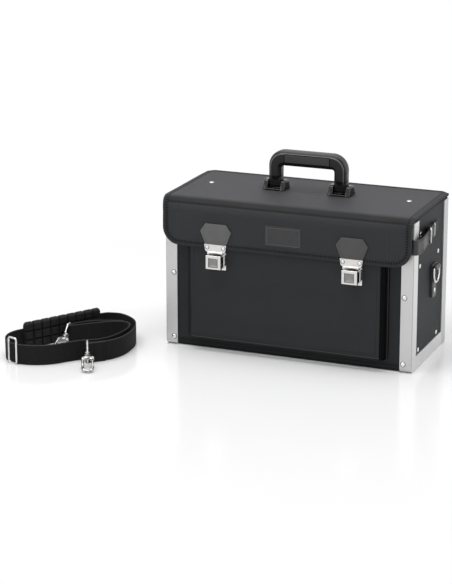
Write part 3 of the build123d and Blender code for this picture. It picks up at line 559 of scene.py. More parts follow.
def strap_points():
    """The section carried along the line; its upper edge leans out and back by up to 1 mm."""
    along = lengths(strap_line)
    path = np.column_stack([strap_line, np.full(len(strap_line), webbing_w / 2 + 0.15)])
    points = carried(path, strap_profile(), upward)
    side = unit(np.cross(unit(np.gradient(path, axis=0)), upward))
    lean = 0.7 * np.sin(along / 61.0) + 0.3 * np.sin(along / 23.0 + 1)
    share = (points[..., 2] / webbing_w)[..., None]
    return points + side[:, None] * lean[:, None, None] * share


def strap_cloth(points):
    """Across the webbing from its lower edge, and along it, in metres."""
    height = np.concatenate([points[..., 2], points[:, :1, 2]], 1)
    along = np.repeat(lengths(strap_line)[:, None], height.shape[1], 1)
    return np.stack([height * mm, along * mm], -1)


def webbing_finish():
    """Close ribs across the webbing, warp threads along it, and paler threads at both edges."""
    weave = Finish("webbing_weave", Specular_IOR_Level=0.16)
    across, along = weave.cloth()
    rib = along.wave(0.0024)
    warp = across.wave(0.0012)
    height = rib * 0.7 + warp * 0.3 + weave.noise(0.0012) * 0.5
    edge = abs(across - 0.0176).step(0.0159, 0.0166)
    worn = weave.noise(0.03, 4.0)
    tone = weave.mix(rib * 0.3 + 0.3 + worn * 0.4, grey(13), grey(30))
    return weave.wear(weave.mix(edge * 0.7, tone, grey(78)), 0.6 + worn * 0.15, height, 0.0005)


cloth_rings = strap_points()
webbing = piece("shoulder_webbing_cloth", [shell(cloth_rings, cloth=strap_cloth(cloth_rings))],
                "case", webbing_finish(), ["shoulder_webbing"], "webbing")
thread = Finish("black_thread", Roughness=0.6, Specular_IOR_Level=0.08)
thread.wear(thread.mix(thread.noise(0.001), grey(6), grey(18)))
rows = []
for stop in (27, 12):
    foot = front_bar + leg * stop + leg_side * 2.9
    row = [(*foot, 3.0), (*foot, webbing_w - 3.0)]
    rows.append(stitches(row, (*leg_side, 0), 3.2, 2.3, 0.35))
webbing_seams = piece("shoulder_webbing_seams", rows, "case", thread)


# Shoulder pad: a moulded foam pad on the strap's far run, with rows of soft blocks that face the
# case and bend at the grooves between them.
pad_from = np.array((-350.6, -76.0))
pad_to = np.array((-438.8, -218.8))
pad_span = (8.6, 162.8)
pad_h = 46.0
pad_back = 1.2
pad_base = 3.0
pad_rise = 5.5
pad_columns = 9
pad_rows = 3
pad_corner = 6.0


def to_edge(share, size, reach):
    """Distance to the nearer end of a size, over a reach and no more than 1."""
    return np.minimum(np.minimum(share, 1 - share) * size / reach, 1)


def quarter(share):
    """The height of a quarter circle, from 0 at 0 to 1 at 1."""
    return np.sqrt(np.clip(1 - (1 - share) ** 2, 0, 1))


def pad_points():
    """Depth over the length and the height: a base, plus blocks whose rise is the product of two
    flat-topped humps, one along each column and one up each row; the outline has round corners."""
    length = pad_span[1] - pad_span[0]
    u = np.linspace(0, 1, 217)
    v = np.linspace(0, 1, 73)
    column = np.abs(((u * pad_columns) % 1) * 2 - 1)
    row = np.abs(((v * pad_rows) % 1) * 2 - 1)
    hump = (1 - column**7)[:, None] * (1 - row**7)
    tuck = pad_corner * (1 - quarter(to_edge(u, length, pad_corner)))
    low, high = tuck * 0.9, pad_h - tuck * 0.9 - 1.9 * column**9
    z = low[:, None] + (high - low)[:, None] * v
    round_off = quarter(to_edge(u, length, 5.0))[:, None] * quarter(to_edge(v, pad_h, 4.0))
    front = pad_back + 0.6 + (pad_base - 0.6) * round_off
    front = front + pad_rise * hump**0.8 * (0.25 + 0.75 * round_off)
    s = pad_span[0] + u[:, None] * length
    points = np.concatenate([stacked(s, front, z), stacked(s, pad_back, z)[:, ::-6]], 1)
    along = unit(pad_to - pad_from)
    return placed(points, (*pad_from, 0), (*along, 0), (-along[1], along[0], 0), upward)


def pad_finish():
    """Knitted mesh over foam: round holes, fine fuzz and cloudy wear."""
    foam = Finish("pad_foam", Specular_IOR_Level=0.16)
    knit = foam.noise(0.0009, 2.0) + foam.cells(0.0016) * 0.7
    tone = foam.mix(foam.noise(0.02, 3.0), grey(24), grey(38))
    return foam.wear(tone, 0.62 + foam.noise(0.01) * 0.15, knit, 0.0003)


pad = piece("shoulder_pad_foam", [shell(pad_points())], "case", pad_finish(), ["shoulder_pad"],
            "pad", 60)


# Metal of the small hardware: bright nickel on steel, with fine pits and duller patches. The hooks
# are cast, so their pits are deeper and their patches darker.
def nickel(name, level, roughness, pits, blur=0.14, shade=25, size=0.006):
    """Plated metal whose colour and gloss vary in soft patches, with fine pits as bumps."""
    metal = Finish(name, Metallic=1.0)
    patches = metal.noise(size, 4.0)
    fine = metal.noise(0.0007, 3.0)
    tone = metal.mix(patches.step(0.3, 0.7), grey(level - shade, 2), grey(level, 1))
    return metal.wear(tone, roughness + patches * blur + fine * 0.05, fine, pits)


wire_nickel = nickel("wire_nickel", 214, 0.16, 0.00002)
cast_nickel = nickel("cast_nickel", 204, 0.1, 0.00006, 0.15, 130, 0.0045)
coat(wire_nickel, "strap_slider", "hook_bail_front", "hook_bail_rear")


# Snap hooks: cast and plated. A swivel stud with a collar carries a forked root and an open round
# ring; a sprung gate turns on a pin between the root's cheeks and closes the ring's mouth.
bail_reach = 17.0
pin_x = 11.5
ring_y = 8.0
ring_x = 33.8


def on_hook(shells, bar, height, heading):
    """Shells given in a hook's own axes, from its bail's end: along its stud, which tilts down,
    sideways, and out of its flat side."""
    heading, tilt = math.radians(heading), math.radians(-24)
    along = np.array((math.cos(heading), math.sin(heading), 0.0))
    stud = along * math.cos(tilt) + np.array((0, 0, math.sin(tilt)))
    sideways = np.cross(upward, along)
    axes = (stud, sideways, np.cross(stud, sideways))
    origin = np.array((*bar, height)) + along * bail_reach
    return [(placed(points, origin, *axes), faces, places) for points, faces, places in shells]


def cast_plate(outline, low, high, edge):
    """A flat casting between two heights, with both rims rounded."""
    return shell(plate(outline, high - low, edge, 0, edge) + (0, 0, low))


def hook_shells():
    """Stud, collar, root, the gate's two cheeks with their pin, and the ring, whose wire thins
    from 2.6 mm at the root to 2.2 mm round the bow."""
    stud = lathe([(0.2, -3.7), (2.6, -3.7), (2.9, -3.4), (2.9, -2.2), (2.0, -1.9), (2.0, 2.6)],
                 axes=on_side)
    collar = lathe([(0.2, 2.1), (3.7, 2.1), (4.2, 2.6), (4.2, 4.2), (3.4, 5.2), (3.6, 6.4), (0.4, 7.4)],
                   axes=on_side)
    root = rounded([(5.6, -3.4), (5.6, 3.4), (8.2, 5.0), (12.4, 4.6), (12.4, -3.2), (16.0, -5.4),
                    (17.5, -10.0), (10.0, -10.2)], (1.4, 1.4, 1.3, 1.3, 2.0, 1.6, 1.6, 4.0), True, 5)
    cheek = rounded([(7.4, 3.4), (7.8, 10.2), (15.0, 10.9), (14.8, 4.2)], (1.2, 3.2, 3.2, 1.2), True, 7)
    pin = doubled([(0.2, -3.1), (1.1, -3.1), (1.6, -2.7), (1.6, -2.4), (1.1, -2.4)], 1)
    pin = lathe(pin, 16, (pin_x, ring_y, 0))
    bow = np.linspace(-np.pi / 2, np.pi / 2, 25)
    line = np.vstack([
        [(12.0, -7.2), (15.0, -7.7), (18.0, -ring_y), (24.0, -ring_y), (30.0, -ring_y)],
        np.stack([ring_x + ring_y * np.cos(bow), ring_y * np.sin(bow)], -1),
        [(32.4, ring_y), (31.0, ring_y)],
    ])
    line = np.column_stack([line, np.zeros(len(line))])
    size = np.interp(lengths(line), [0, 10, 26, 50], [2.6, 2.5, 2.2, 2.2])
    size[-1] = 1.7
    return [stud, collar, cast_plate(root, -2.5, 2.5, 1.1), cast_plate(cheek, 1.65, 2.5, 0.4),
            cast_plate(cheek, -2.5, -1.65, 0.4), pin, wire(line, size, upward, False, 14)]


def gate_shells():
    """The gate: an eye on the pin, and a lever that thins towards the ring's mouth."""
    eye = doubled([(1.2, -1.5), (2.5, -1.5), (2.9, -1.1)], 1)
    eye = lathe(eye, 20, (pin_x, ring_y, 0), closed=True)
    lever = lathe([(1.5, 13.2), (1.7, 14.0), (1.7, 20.0), (1.5, 28.8), (1.3, 29.8), (0.9, 30.3)], 14,
                  (0, ring_y, 0), (rearward, (0, 0, 0.9), rightward))
    return [eye, lever]


for end, *place in (("front", front_bar, 20.6, -64.0), ("rear", rear_bar, 21.0, -92.0)):
    piece(f"hook_casting_{end}", on_hook(hook_shells(), *place), f"hook_{end}", cast_nickel,
          [f"snap_hook_{end}"], "cast_metal")
    piece(f"gate_lever_{end}", on_hook(gate_shells(), *place), f"gate_{end}", cast_nickel,
          [f"snap_gate_{end}"], "cast_metal")


# Edge frames: extruded aluminium angle up the front, along the bottom and up the back of each end,
# satin anodised, with drawing lines along each leg. The base sheet under the case is the same.
def aluminium_finish():
    """Fine lines along each leg and cloudy patches. The side legs are paler as painted light, and a
    darker line down the front posts' outer corners and the darker rear posts are painted shade."""
    metal = Finish("satin_aluminium", Metallic=1.0)
    x, y, z = metal.place()
    upright = metal.noise(0.0008, 3.0, (1, 1, 0.012))
    lying = metal.noise(0.0008, 3.0, (1, 0.012, 1))
    on_rail = 1 - z.step(0.018, 0.022)
    lines = upright + (lying - upright) * on_rail
    cloud = metal.noise(0.035, 4.0)
    streaks = lines * 0.5 + cloud * 0.5
    # Painted light: the side legs get a paler copy of the front legs' tone.
    front_leg = metal.mix(streaks, grey(188), grey(204))
    painted_lit_side_leg = metal.mix(streaks, grey(206), grey(222))
    tone = metal.mix(abs(x).step(0.2188, 0.2196), front_leg, painted_lit_side_leg)
    # Painted shade: a darker line down each front post's outer corner, and darker rear posts.
    corner = abs(x).near(0.2194, 0.0004, 0.0005) * (-1 * y).near(0.0964, 0.0004, 0.0005)
    painted_rear_shade = y.step(0.070, 0.078)
    tone = metal.mix(corner * 0.5, tone, grey(120))
    tone = metal.mix(painted_rear_shade * 0.3, tone, grey(120))
    return metal.wear(tone, 0.36 + lines * 0.12 + cloud * 0.06, lines, 0.00003)


coat(aluminium_finish(), "edge_frame_right", "edge_frame_left", "divider_channels_right",
     "divider_channels_left", "base_sheet")


# Rivets: bright domed heads on the frames, flatter ones on the side boards, the tabs and the lid.
def dome(radius, height):
    """A head: a short upright rim, then a quarter of an ellipse."""
    turn = np.linspace(0, np.pi / 2, 7)[:-1]
    reach = np.concatenate([[0.97], np.cos(turn), [0.02]]) * radius
    rise = np.concatenate([[-0.3], 0.15 * height + 0.85 * height * np.sin(turn), [height]])
    return lathe(np.stack([reach, rise], -1))


def washer(radius, height):
    """A thin flat disc under a head."""
    return lathe([(0.97 * radius, -0.3), (radius, 0), (0.98 * radius, height), (0.02 * radius, height)])


def heads(template, spots, outward):
    """The same head at each spot, facing outward."""
    spots = np.asarray(spots, float)
    out = np.broadcast_to(np.asarray(outward, float), spots.shape)
    across = unit(np.cross(rightward if outward[2] else upward, out))
    return copies(template, spots, across, np.cross(out, across), out)


def frame_heads(template):
    """The same head at each of the frames' rivets, in front and behind."""
    places = [(x, z) for x in (-205, 205) for z in (15, 129, 243)]
    return [heads(template, [(x, way * frame_y, z) for x, z in places], (0, way, 0))
            for way in (-1, 1)]


rivet_nickel = nickel("rivet_nickel", 236, 0.14, 0.00003)
# Painted shade: a dull dark disc just wider than each head stands for the shade round its rim.
painted_rivet_shade = nickel("rivet_seat_painted_shade", 74, 0.5, 0.00003)
piece("frame_rivet_heads", frame_heads(dome(4.0, 2.2)), "case", rivet_nickel, ["frame_rivets"],
      "steel")
piece("frame_rivet_painted_shade_rings", frame_heads(washer(4.7, 0.12)), "case", painted_rivet_shade)
flat_head = dome(4.0, 1.2)
side_spots = [(-56.5, 30), (-56.5, 174), (48, 30), (48, 174), (-56.5, 228.5)]
side_heads = []
tab_heads = []
for hand in sides.values():
    spots = [(side_x * hand, y, z) for y, z in side_spots]
    side_heads.append(heads(flat_head, spots, (hand, 0, 0)))
    tab_heads.append(heads(flat_head, [(222.4 * hand, 17, 114)], (hand, 0, 0)))
piece("side_rivet_heads", side_heads, "case", rivet_nickel, ["side_rivets"], "steel")
piece("tab_rivet_heads", tab_heads, "case", rivet_nickel, ["tab_rivets"], "steel")
lid_heads = heads(dome(4.4, 1.2), [(-178, 6, lid_top), (178, 6, lid_top)], upward)
piece("lid_rivet_heads", [lid_heads], "lid", rivet_nickel, ["lid_rivets"], "steel")


# Boards: the walls, the side boards and the base are laminated board faced with dark textile. The
# dividers are thinner fibre board.
def textile(name, low, high, pitch=0.0011, depth=0.00022, shine=0.25, top_paling=0, seam=None, warm=-1.5):
    """Coated cloth: a fine plain weave in whichever plane the face lies, faint cloudy wear and tiny
    pits in the coating. It is paler and a little purple on what lies above 264 mm, and it is darkened
    as painted shade in a band that seam gives as its middle and its half height."""
    cloth = Finish(name, Specular_IOR_Level=shine)
    x, y, z = cloth.place()
    weave = x.wave(pitch) + y.wave(pitch) + z.wave(pitch)
    cloud = cloth.noise(0.06, 5.0)
    pits = cloth.noise(0.0016, 3.0)
    tone = cloth.mix(cloud * 0.7 + weave * 0.08 + pits * 0.2, grey(low, warm), grey(high, warm))
    # Paler and a little purple above 264 mm.
    if top_paling:
        pale, palest = grey(low + top_paling, -1.2, 1.8), grey(high + top_paling, -1.2, 1.8)
        paler_top_tone = cloth.mix(cloud * 0.7 + pits * 0.3, pale, palest)
        tone = cloth.mix(z.step(0.2638, 0.2658), tone, paler_top_tone)
    # Painted shade: darker in the band that seam gives.
    if seam:
        tone = cloth.mix(z.near(*seam, seam[1] * 0.6) * 0.75, tone, grey(10))
    return cloth.wear(tone, 0.5 + cloud * 0.12 + pits * 0.1, weave * 0.28 + pits, depth)


coat(textile("wall_textile", 32, 42, shine=0.22), "front_wall", "rear_wall", "base_board")
# Painted shade in a band from about 256 to 260 mm, at the side boards' top under the lid's edge.
side_cloth = textile("side_textile", 28, 40, shine=0.24, seam=(0.2577, 0.0019), warm=-2.5)
coat(side_cloth, "side_panel_right", "side_panel_left")
board_face = textile("divider_board_face", 46, 62, 0.002, 0.0002, 0.3)
coat(board_face, "divider_front", "divider_rear")
# Painted shade: the lid's board is near black so the gap at the lid's edges reads as shade.
coat(textile("lid_board_painted_shade", 12, 18, shine=0.1), "lid_board")


# Front hem: a flat tape along the foot of the front wall, sewn along both of its edges.
hem_cloth = textile("hem_textile", 23, 31, shine=0.2)
hem_y = -wall_y - 1.1
hem = band(box_outline(397.4, 11.0, 0.6, 0, 8.1), 1.1, 0.5, (0, -wall_y, 0), *on_front)
piece("front_hem", [hem], "case", hem_cloth, (), "textile")
rows = [stitches(doubled([(-196, hem_y, z)], 0), forward, 4.5, 3.0, 0.8, 0.0, True)
        for z in (5.0, 11.2)]
piece("front_hem_stitches", rows, "case", thread)


# Front pocket: a flat panel of coated textile whose foot folds back to the wall over a piped edge,
# with a pleated gusset of smooth cloth at each side, painted near black as shade on the right and
# greyer as light on the left. It is open at the top, under the flap.
pocket_half = 168.0
pocket_top = 214.0
panel_back = 108.4
panel_round = 3.0
foot_z = 25.0


def pocket_panel():
    """A panel whose edge turns in on a 3 mm round, and whose face swells by up to 1 mm between the
    foot and the locks: a product of one sine across and one sine up."""
    turned_in = panel_round * (1 - np.cos(np.linspace(0, np.pi / 2, 6)))
    across = np.concatenate([turned_in - pocket_half, np.linspace(-163, 163, 79)])
    across = np.concatenate([across, -across[5::-1]])
    up = np.concatenate([foot_z + turned_in, np.linspace(foot_z + 5, pocket_top, 50)])
    x, z = np.meshgrid(across, up, indexing="ij")
    side = np.clip((pocket_half - np.abs(x)) / panel_round, 0, 1)
    foot = np.clip((z - foot_z) / panel_round, 0, 1)
    round_off = panel_round * (2 - quarter(side) - quarter(foot))
    swell = np.sin(np.pi * np.clip((x + pocket_half) / (2 * pocket_half), 0, 1)) ** 0.6
    swell = swell * np.sin(np.pi * np.clip((z - foot_z) / 119, 0, 1)) ** 1.2
    ripple = 0.18 * np.sin(x / 31.0 + z / 47.0) * np.sin(z / 26.0 + 1.0) * side * foot
    y = -pocket_y + np.minimum(round_off, 3.2) - 0.9 * swell - ripple
    return two_sided(stacked(x, y, z), stacked(x, -panel_back, z))


def gusset_points(hand):
    """A side gusset's section carried down the pocket's side, and drawn in to nothing over its last
    5 mm on a quarter circle. Out from the wall: a welt, a first fold, a pleat that tucks in, and
    the panel's edge, as (inwards, outwards) points."""
    section = np.array([
        (-5, 0.2), (-5, 1.1), (-4.7, 1.3), (-0.9, 1.3), (0.1, 2.0), (0.3, 3.6), (0.9, 5.6), (2.6, 7.4),
        (3.9, 8.6), (2.6, 9.8), (2.2, 11.4), (3.0, 13.2), (4.4, 14.9), (6.4, 15.6), (7.2, 15.2),
        (7.2, 13.4), (5.6, 12.6), (4.4, 11.2), (5.6, 8.6), (4.0, 6.6), (2.4, 5.0), (1.6, 3.2),
        (0.8, 0.6), (-0.5, 0.2),
    ])
    z = np.concatenate([np.linspace(pocket_top, 24, 60), 19 + 5 * np.cos(np.linspace(0.2, 1.5, 10))])
    low = np.clip((24 - z) / 5, 0, 1)
    share = np.sqrt(1 - low**2)[:, None]
    wander = 0.35 * np.sin(z / 13.0 + hand)[:, None] * (section[:, 1] > 3)
    x = hand * (174 - section[:, 0] * share - wander)
    return stacked(x, -wall_y - section[:, 1] * share, z[:, None])


def foot_points():
    """The foot's section carried across: from the piped edge the cloth falls back to the wall in a
    shallow hollow and ends in a sewn welt. It is 5 mm wider at the wall than at the edge."""
    section = np.array([(-panel_back, 30.0), (-panel_back, foot_z + 0.8), (-111.4, foot_z + 0.8),
                        (-111.2, foot_z - 0.6), (-107.5, foot_z - 2.6), (-103.0, foot_z - 4.6),
                        (-99.0, foot_z - 6.6), (-97.0, foot_z - 7.8), (-96.7, foot_z - 8.8),
                        (-96.6, 13.9), (-96.3, 13.5), (-95.2, 13.5), (-95.2, 30.0)])
    y, z = section.T
    half = 167.5 + 2.5 * (y + pocket_y) / (pocket_y - wall_y)
    t = np.linspace(-1, 1, 90)[:, None]
    sag = 0.25 * np.sin(t * 23.0) * ((y < -98) & (y > -108))
    return stacked(t * half, y, z + sag)


def gusset_finish():
    """Smooth dark cloth in soft upright folds, with its tones painted: the right gusset is near black
    as painted shade with a pale line down its welt as painted highlight, and the left gusset
    faces the light and is greyer as painted light."""
    cloth = Finish("gusset_cloth", Specular_IOR_Level=0.06)
    x, _, _ = cloth.place()
    folds = cloth.noise(0.012, 3.0, (1, 1, 0.15))
    # Painted shade: the right gusset near black. Painted highlight: a pale line down its welt.
    tone = cloth.mix(folds, grey(3), grey(8))
    tone = cloth.mix(abs(x).near(0.1768, 0.0007, 0.0003), tone, grey(50))
    # Painted light: the left gusset greyer.
    painted_lit_left_tone = cloth.mix(folds, grey(30, -1.5), grey(38, -1.5))
    tone = cloth.mix(x.step(-0.01, 0.01), painted_lit_left_tone, tone)
    return cloth.wear(tone, 0.45 + folds * 0.15, folds, 0.0006)


pocket_cloth = textile("pocket_textile", 31, 41)
piece("pocket_panel", [pocket_panel(), shell(foot_points())], "case", pocket_cloth,
      ["front_pocket"], "textile")
# The piping is a real piped edge; its tone, paler than the pocket's, is a painted highlight along the
# foot.
piping_painted_highlight = textile("piping_tape_painted_highlight", 42, 54, 0.0016, 0.0002, 0.4)
piping_line = resample(doubled([(-167.6, -111.5, foot_z + 0.2)], 0), 4.0)
piece("pocket_piping", [wire(piping_line, 0.8, upward, False)], "case", piping_painted_highlight)
gussets = [shell(gusset_points(hand)) for hand in sides.values()]
piece("pocket_gusset", gussets, "case", gusset_finish())
panel_seam = rounded(doubled([(-162, -pocket_y, 212), (-162, -pocket_y - 0.1, 31)], 0), 3.0)
foot_seam = doubled([(-172, -96.7, 15.0)], 0)
rows = [stitches(resample(panel_seam, 2.0), forward, 3.4, 2.2, 0.3, 0.0),
        stitches(resample(foot_seam, 2.0), forward)]
piece("pocket_stitches", rows, "case", thread)


# Lid skin: one piece of coated textile over the board and down the flap. It is soft at its edges,
# which roll down over the board, and its front bend is sewn through along one row.
lid_y = 97.0
lid_half = 220.0
bend_start = 189.0
bend_r = 24.0
bend_long = bend_r * math.pi / 2
flap_long = 58.0
lid_long = bend_start + bend_long + flap_long
rear_corner = 12.0
flap_corner = 28.0
sewn_at = 210.5


def lid_surface(x, s, lift):
    """A point on the lid: x across, s along it from the rear edge over the bend and down the flap,
    lift out from the skin. Edges roll down 1.5 mm, the flap's sides fall back 5 mm towards the
    wall beside the pocket, and the sewn row lies in a shallow groove."""
    turn = np.clip((s - bend_start) / bend_r, 0, np.pi / 2)
    flat = np.minimum(s, bend_start)
    fall = np.maximum(s - bend_start - bend_long, 0)
    groove = np.exp(-(((s - sewn_at) / 2.2) ** 2)) * smooth((214 - np.abs(x)) / 6)
    puff = 0.1 * np.exp(-(((s - sewn_at + 10) / 8) ** 2))
    roll = 1.5 * smooth((np.abs(x) - 208) / 12) * smooth((245 - s) / 30)
    roll = roll + 1.2 * smooth((10 - s) / 10)
    soft = 0.22 * np.sin(x / 37.0 + 0.6) * np.sin(s / 29.0) + 0.15 * np.sin(x / 17.0 + s / 41.0)
    away = lift - 0.25 * groove + puff - roll + soft * smooth((s - 12) / 30)
    y = lid_y - flat - (bend_r + away) * np.sin(turn)
    z = lid_top - bend_r + (bend_r + away) * np.cos(turn) - fall
    back = 5.0 * smooth((np.abs(x) - 170) / 46) * smooth((s - 200) / 34)
    return stacked(x, y + back, z)


def narrowing(s):
    """What the lid loses on each side over the bend."""
    return 1.6 * smooth((s - 190) / 34)


def flap_half(s):
    """Half the lid's width at s: drawn in by a round at the rear corners and at the flap's."""
    left = np.clip(s - (lid_long - flap_corner), 0, flap_corner)
    rear = np.clip(rear_corner - s, 0, rear_corner)
    half = lid_half - (flap_corner - np.sqrt(flap_corner**2 - left**2))
    return half - (rear_corner - np.sqrt(rear_corner**2 - rear**2)) - narrowing(s)


def lid_grid(lift):
    """The skin's points at one lift: rows along s, columns across."""
    s = np.concatenate([
        12 * np.linspace(0.01, 1, 12) ** 2,
        np.linspace(20, 180, 25),
        np.linspace(185, 232, 58),
        np.linspace(236, 255, 10),
        lid_long - flap_corner * np.cos(np.linspace(0.02, np.pi / 2, 16)),
    ])[:, None]
    t = np.concatenate([-1 + 0.04 * np.linspace(0, 1, 8) ** 1.5, np.linspace(-0.93, 0.93, 95)])
    t = np.concatenate([t, -t[7::-1]])
    return lid_surface(flap_half(s) * t, s, lift)


def lid_row(x, s, lift, long=4.4, thick=0.9):
    """A row of thread along a line on the lid, each stitch across it."""
    spots = lid_surface(x, s, lift)
    normals = lid_surface(x, s, lift + 1.0) - spots
    return stitches(spots, normals, 4.5, long, thick, 0.0, True)


# Paler on top above 264 mm; painted shade in a band from 257 to 263 mm over the upper bend and at the
# hinge strip's top.
lid_cloth = textile("lid_textile", 35, 47, 0.0011, 0.00025, 0.28, 18, (0.2600, 0.0030))
skin = two_sided(lid_grid(0.0), lid_grid(-2.9))
piece("lid_skin_cloth", [skin], "lid", lid_cloth, ["lid_skin"], "textile")
bend_row = lid_row(np.linspace(-211, 211, 212), np.full(212, sewn_at), -0.1)
piece("lid_stitches", [bend_row], "lid", thread)


# Lid binding: soft tape folded over the skin's edge all the way round and sewn through along its
# inner side.
def lid_edge(inset, step):
    """The lid's outline in x and s, drawn in by an inset, as a closed line."""
    half, low = lid_half - inset, lid_long - inset
    rear, front = rear_corner - inset, flap_corner - inset
    path = rounded([(-half, inset), (-half, low), (half, low), (half, inset)],
                   (rear, front, front, rear), True, 16)
    path = resample(np.vstack([path, path[:1]]), step)[:-1]
    x, s = path.T
    return np.stack([x - np.sign(x) * narrowing(s) * smooth((np.abs(x) - 180) / 20), s], -1)


def binding_points():
    """The tape's section, as inset from the edge and lift from the skin, carried round the edge."""
    section = np.array([(9.0, -0.1), (9.0, 0.45), (8.6, 0.8), (6.0, 0.9), (2.0, 0.95), (0.3, 0.9),
                        (-0.2, 0.5), (-0.4, -0.3), (-0.4, -2.4), (-0.2, -3.2), (0.4, -3.5), (4.0, -3.5),
                        (4.0, -2.7), (0.6, -2.6), (0.4, -0.2)])
    middle = lid_edge(4.0, 3.0)
    flat = middle[:, None] + inwards(middle)[:, None] * (section[:, :1] - 4.0)
    return lid_surface(flat[..., 0], flat[..., 1], section[:, 1])


# Paler on top above 264 mm.
binding_cloth = textile("binding_tape", 28, 40, 0.0016, 0.0003, 0.26, 8)
piece("lid_binding_tape", [shell(binding_points(), True)], "lid", binding_cloth, ["lid_binding"],
      "binding")
edge_row = lid_edge(6.6, 2.0)
on_flap = edge_row[:, 1] > 200
flap_end = np.nonzero(on_flap)[0][-1]
top_row = np.roll(edge_row, -flap_end - 1, 0)[:np.sum(~on_flap)]
rows = [lid_row(*edge_row[on_flap].T, 0.85), lid_row(*top_row.T, 0.8, 2.2, 0.4)]
piece("lid_binding_stitches", rows, "lid", thread)


# Hinge strip: a strip of the lid's textile down the rear wall, with a loose bend near its top.
def hinge_points():
    """A thin strip from the lid's rear edge down the wall, with rounded faces and a loose bend."""
    z = np.concatenate([np.linspace(225.2, 250, 10), np.linspace(251, 263.4, 20)])
    swell = 0.5 * np.exp(-(((z - 258.8) / 4.0) ** 2))
    outer = wall_y + 1.3 + swell + 0.9 * smooth((z - 256) / 5)
    inner = wall_y + 0.1 + 0.9 * smooth((z - 257.5) / 3.5)
    x = np.linspace(-198.4, 198.4, 60)[:, None]
    return stacked(x, np.concatenate([outer, inner[::-1]]), np.concatenate([z, z[::-1]]))


hinge = piece("hinge_cloth", [shell(hinge_points())], None, lid_cloth, ["hinge_strip"], "textile")
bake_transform(hinge)
strip_y = wall_y + 1.35
rows = [stitches(doubled([(-195, strip_y, z)], 0), rearward) for z in (228.5, 238.0)]
piece("hinge_stitches", rows, "case", thread)


# Label: a bare woven patch sewn to the flap, with a raised border and no print.
label_z = 215.8


def label_finish():
    """Fine twill with a slightly paler sewn border; the middle is bare."""
    cloth = Finish("label_weave", Specular_IOR_Level=0.4)
    x, _, z = cloth.place()
    twill = (x + z).wave(0.0012)
    aside, above = abs(x), abs(z - label_z * mm)
    border = aside.near(0.0287, 0.0005, 0.0004) * (1 - above.step(0.0150, 0.0154))
    border = border + above.near(0.0144, 0.0005, 0.0004) * (1 - aside.step(0.0290, 0.0294))
    tone = cloth.mix(cloth.noise(0.008, 3.0) * 0.6 + twill * 0.1, grey(48), grey(60))
    tone = cloth.mix(border.maths("MINIMUM", 1.0), tone, grey(74))
    return cloth.wear(tone, 0.58, twill * 0.4 + border * 1.5, 0.0002)


label = band(box_outline(64, 35.2, 1.2, 0, label_z), 0.9, 0.5, (0, -flap_y - 0.05, 0), *on_front)
piece("label_cloth", [label], "lid", label_finish(), ["label_patch"], "patch")
label_seam = np.insert(box_outline(61, 32.2, 1.0, 0, label_z), 1, -flap_y - 0.95, 1)
label_row = stitches(resample(label_seam, 1.5), forward, 2.4, 1.7, 0.28)
piece("label_stitches", [label_row], "lid", thread)


# Leather: split cowhide, dyed through and pressed with a fine grain, slightly greyer where it is
# rubbed. The latch plates are cut to six sides with pared edges.
def leather(name, low, high, roughness):
    """Grain cells in two sizes, cloudy wear, and creases as a broader noise."""
    hide = Finish(name, Specular_IOR_Level=0.45)
    grain = hide.cells(0.0011) * 0.8 + hide.cells(0.0026) * 0.5
    cloud = hide.noise(0.018, 4.0)
    tone = hide.mix(cloud * 0.7 + grain * 0.2, grey(low), grey(high))
    return hide.wear(tone, roughness + cloud * 0.14, grain + cloud * 2.0, 0.00016)


# Painted light: the two plates are one leather, the left a paler copy and the right a darker one, as
# light falls on them.
latch_hide_painted_light = {"right": leather("latch_hide_painted_light", 56, 74, 0.4),
                 "left": leather("latch_hide_painted_paler", 78, 98, 0.4)}
strap_leather = leather("strap_leather", 34, 50, 0.26)
chape_leather = leather("chape_leather", 22, 32, 0.62)
latch_outline = doubled([(-18.5, 226.5), (-27.7, 213.5), (-19.0, 191.5), (-17.2, 184.2)], 0)
latch_outline = rounded(latch_outline, 1.2, True, 4)
latch_seam = doubled([(-16.4, 222.6), (-23.4, 213.2), (-16.2, 194.0)], 0)
for side, hand in sides.items():
    hide = latch_hide_painted_light[side]
    hexagon = band(latch_outline, 2.2, 0.8, (lock_x * hand, -flap_y, 0), *on_front)
    piece(f"latch_plate_{side}", [hexagon], "lid", hide, [f"latch_patch_{side}"], "leather")
    seam = resample([(x + lock_x * hand, -flap_y - 2.25, z) for x, z in latch_seam], 1.0)
    piece(f"latch_stitches_{side}", [stitches(seam, forward, 3.2, 2.2, 0.3)], "lid", hide)


# Locks: pressed steel, bright nickel plated. A plate riveted over the leather carries the tongue,
# which drops in the case; the button's dished face is a little duller.
lock_nickel = nickel("lock_nickel", 216, 0.12, 0.00001, 0.04, 8)
coat(lock_nickel, "lock_case_right", "lock_case_left", "lock_tongue_right", "lock_tongue_left")
button_nickel = nickel("button_nickel", 138, 0.3, 0.00003, 0.05, 9)
coat(button_nickel, "lock_button_right", "lock_button_left")
tongue_y = -119.4
tongue_z = 186.04
spots = [(lock_x * hand + 14.6 * way, tongue_y, tongue_z) for hand in sides.values() for way in (1, -1)]
piece("tongue_rivet_heads", [heads(dome(3.0, 1.4), spots, forward)], "lid", rivet_nickel,
      ["tongue_rivets"], "steel")
# Painted shade: a dull dark disc just wider than each head stands for the shade round its rim.
piece("tongue_rivet_painted_shade_rings", [heads(washer(3.7, 0.1), spots, forward)], "lid", painted_rivet_shade)


# Handle: moulded black plastic, eight-sided with soft edges, turning on two pins in brackets that
# are screwed to the lid's board. Two thin panels are let into the grip, each over a slightly larger
# near-black plate that is painted shade in the groove round it.
arm_x = 58.5
arm_half = 11.0
handle_y = 6.0
pin_z = 275.0
neck_z = 283.0
grip_z = 322.0
grip_deep = 10.7
eye_r = 6.9


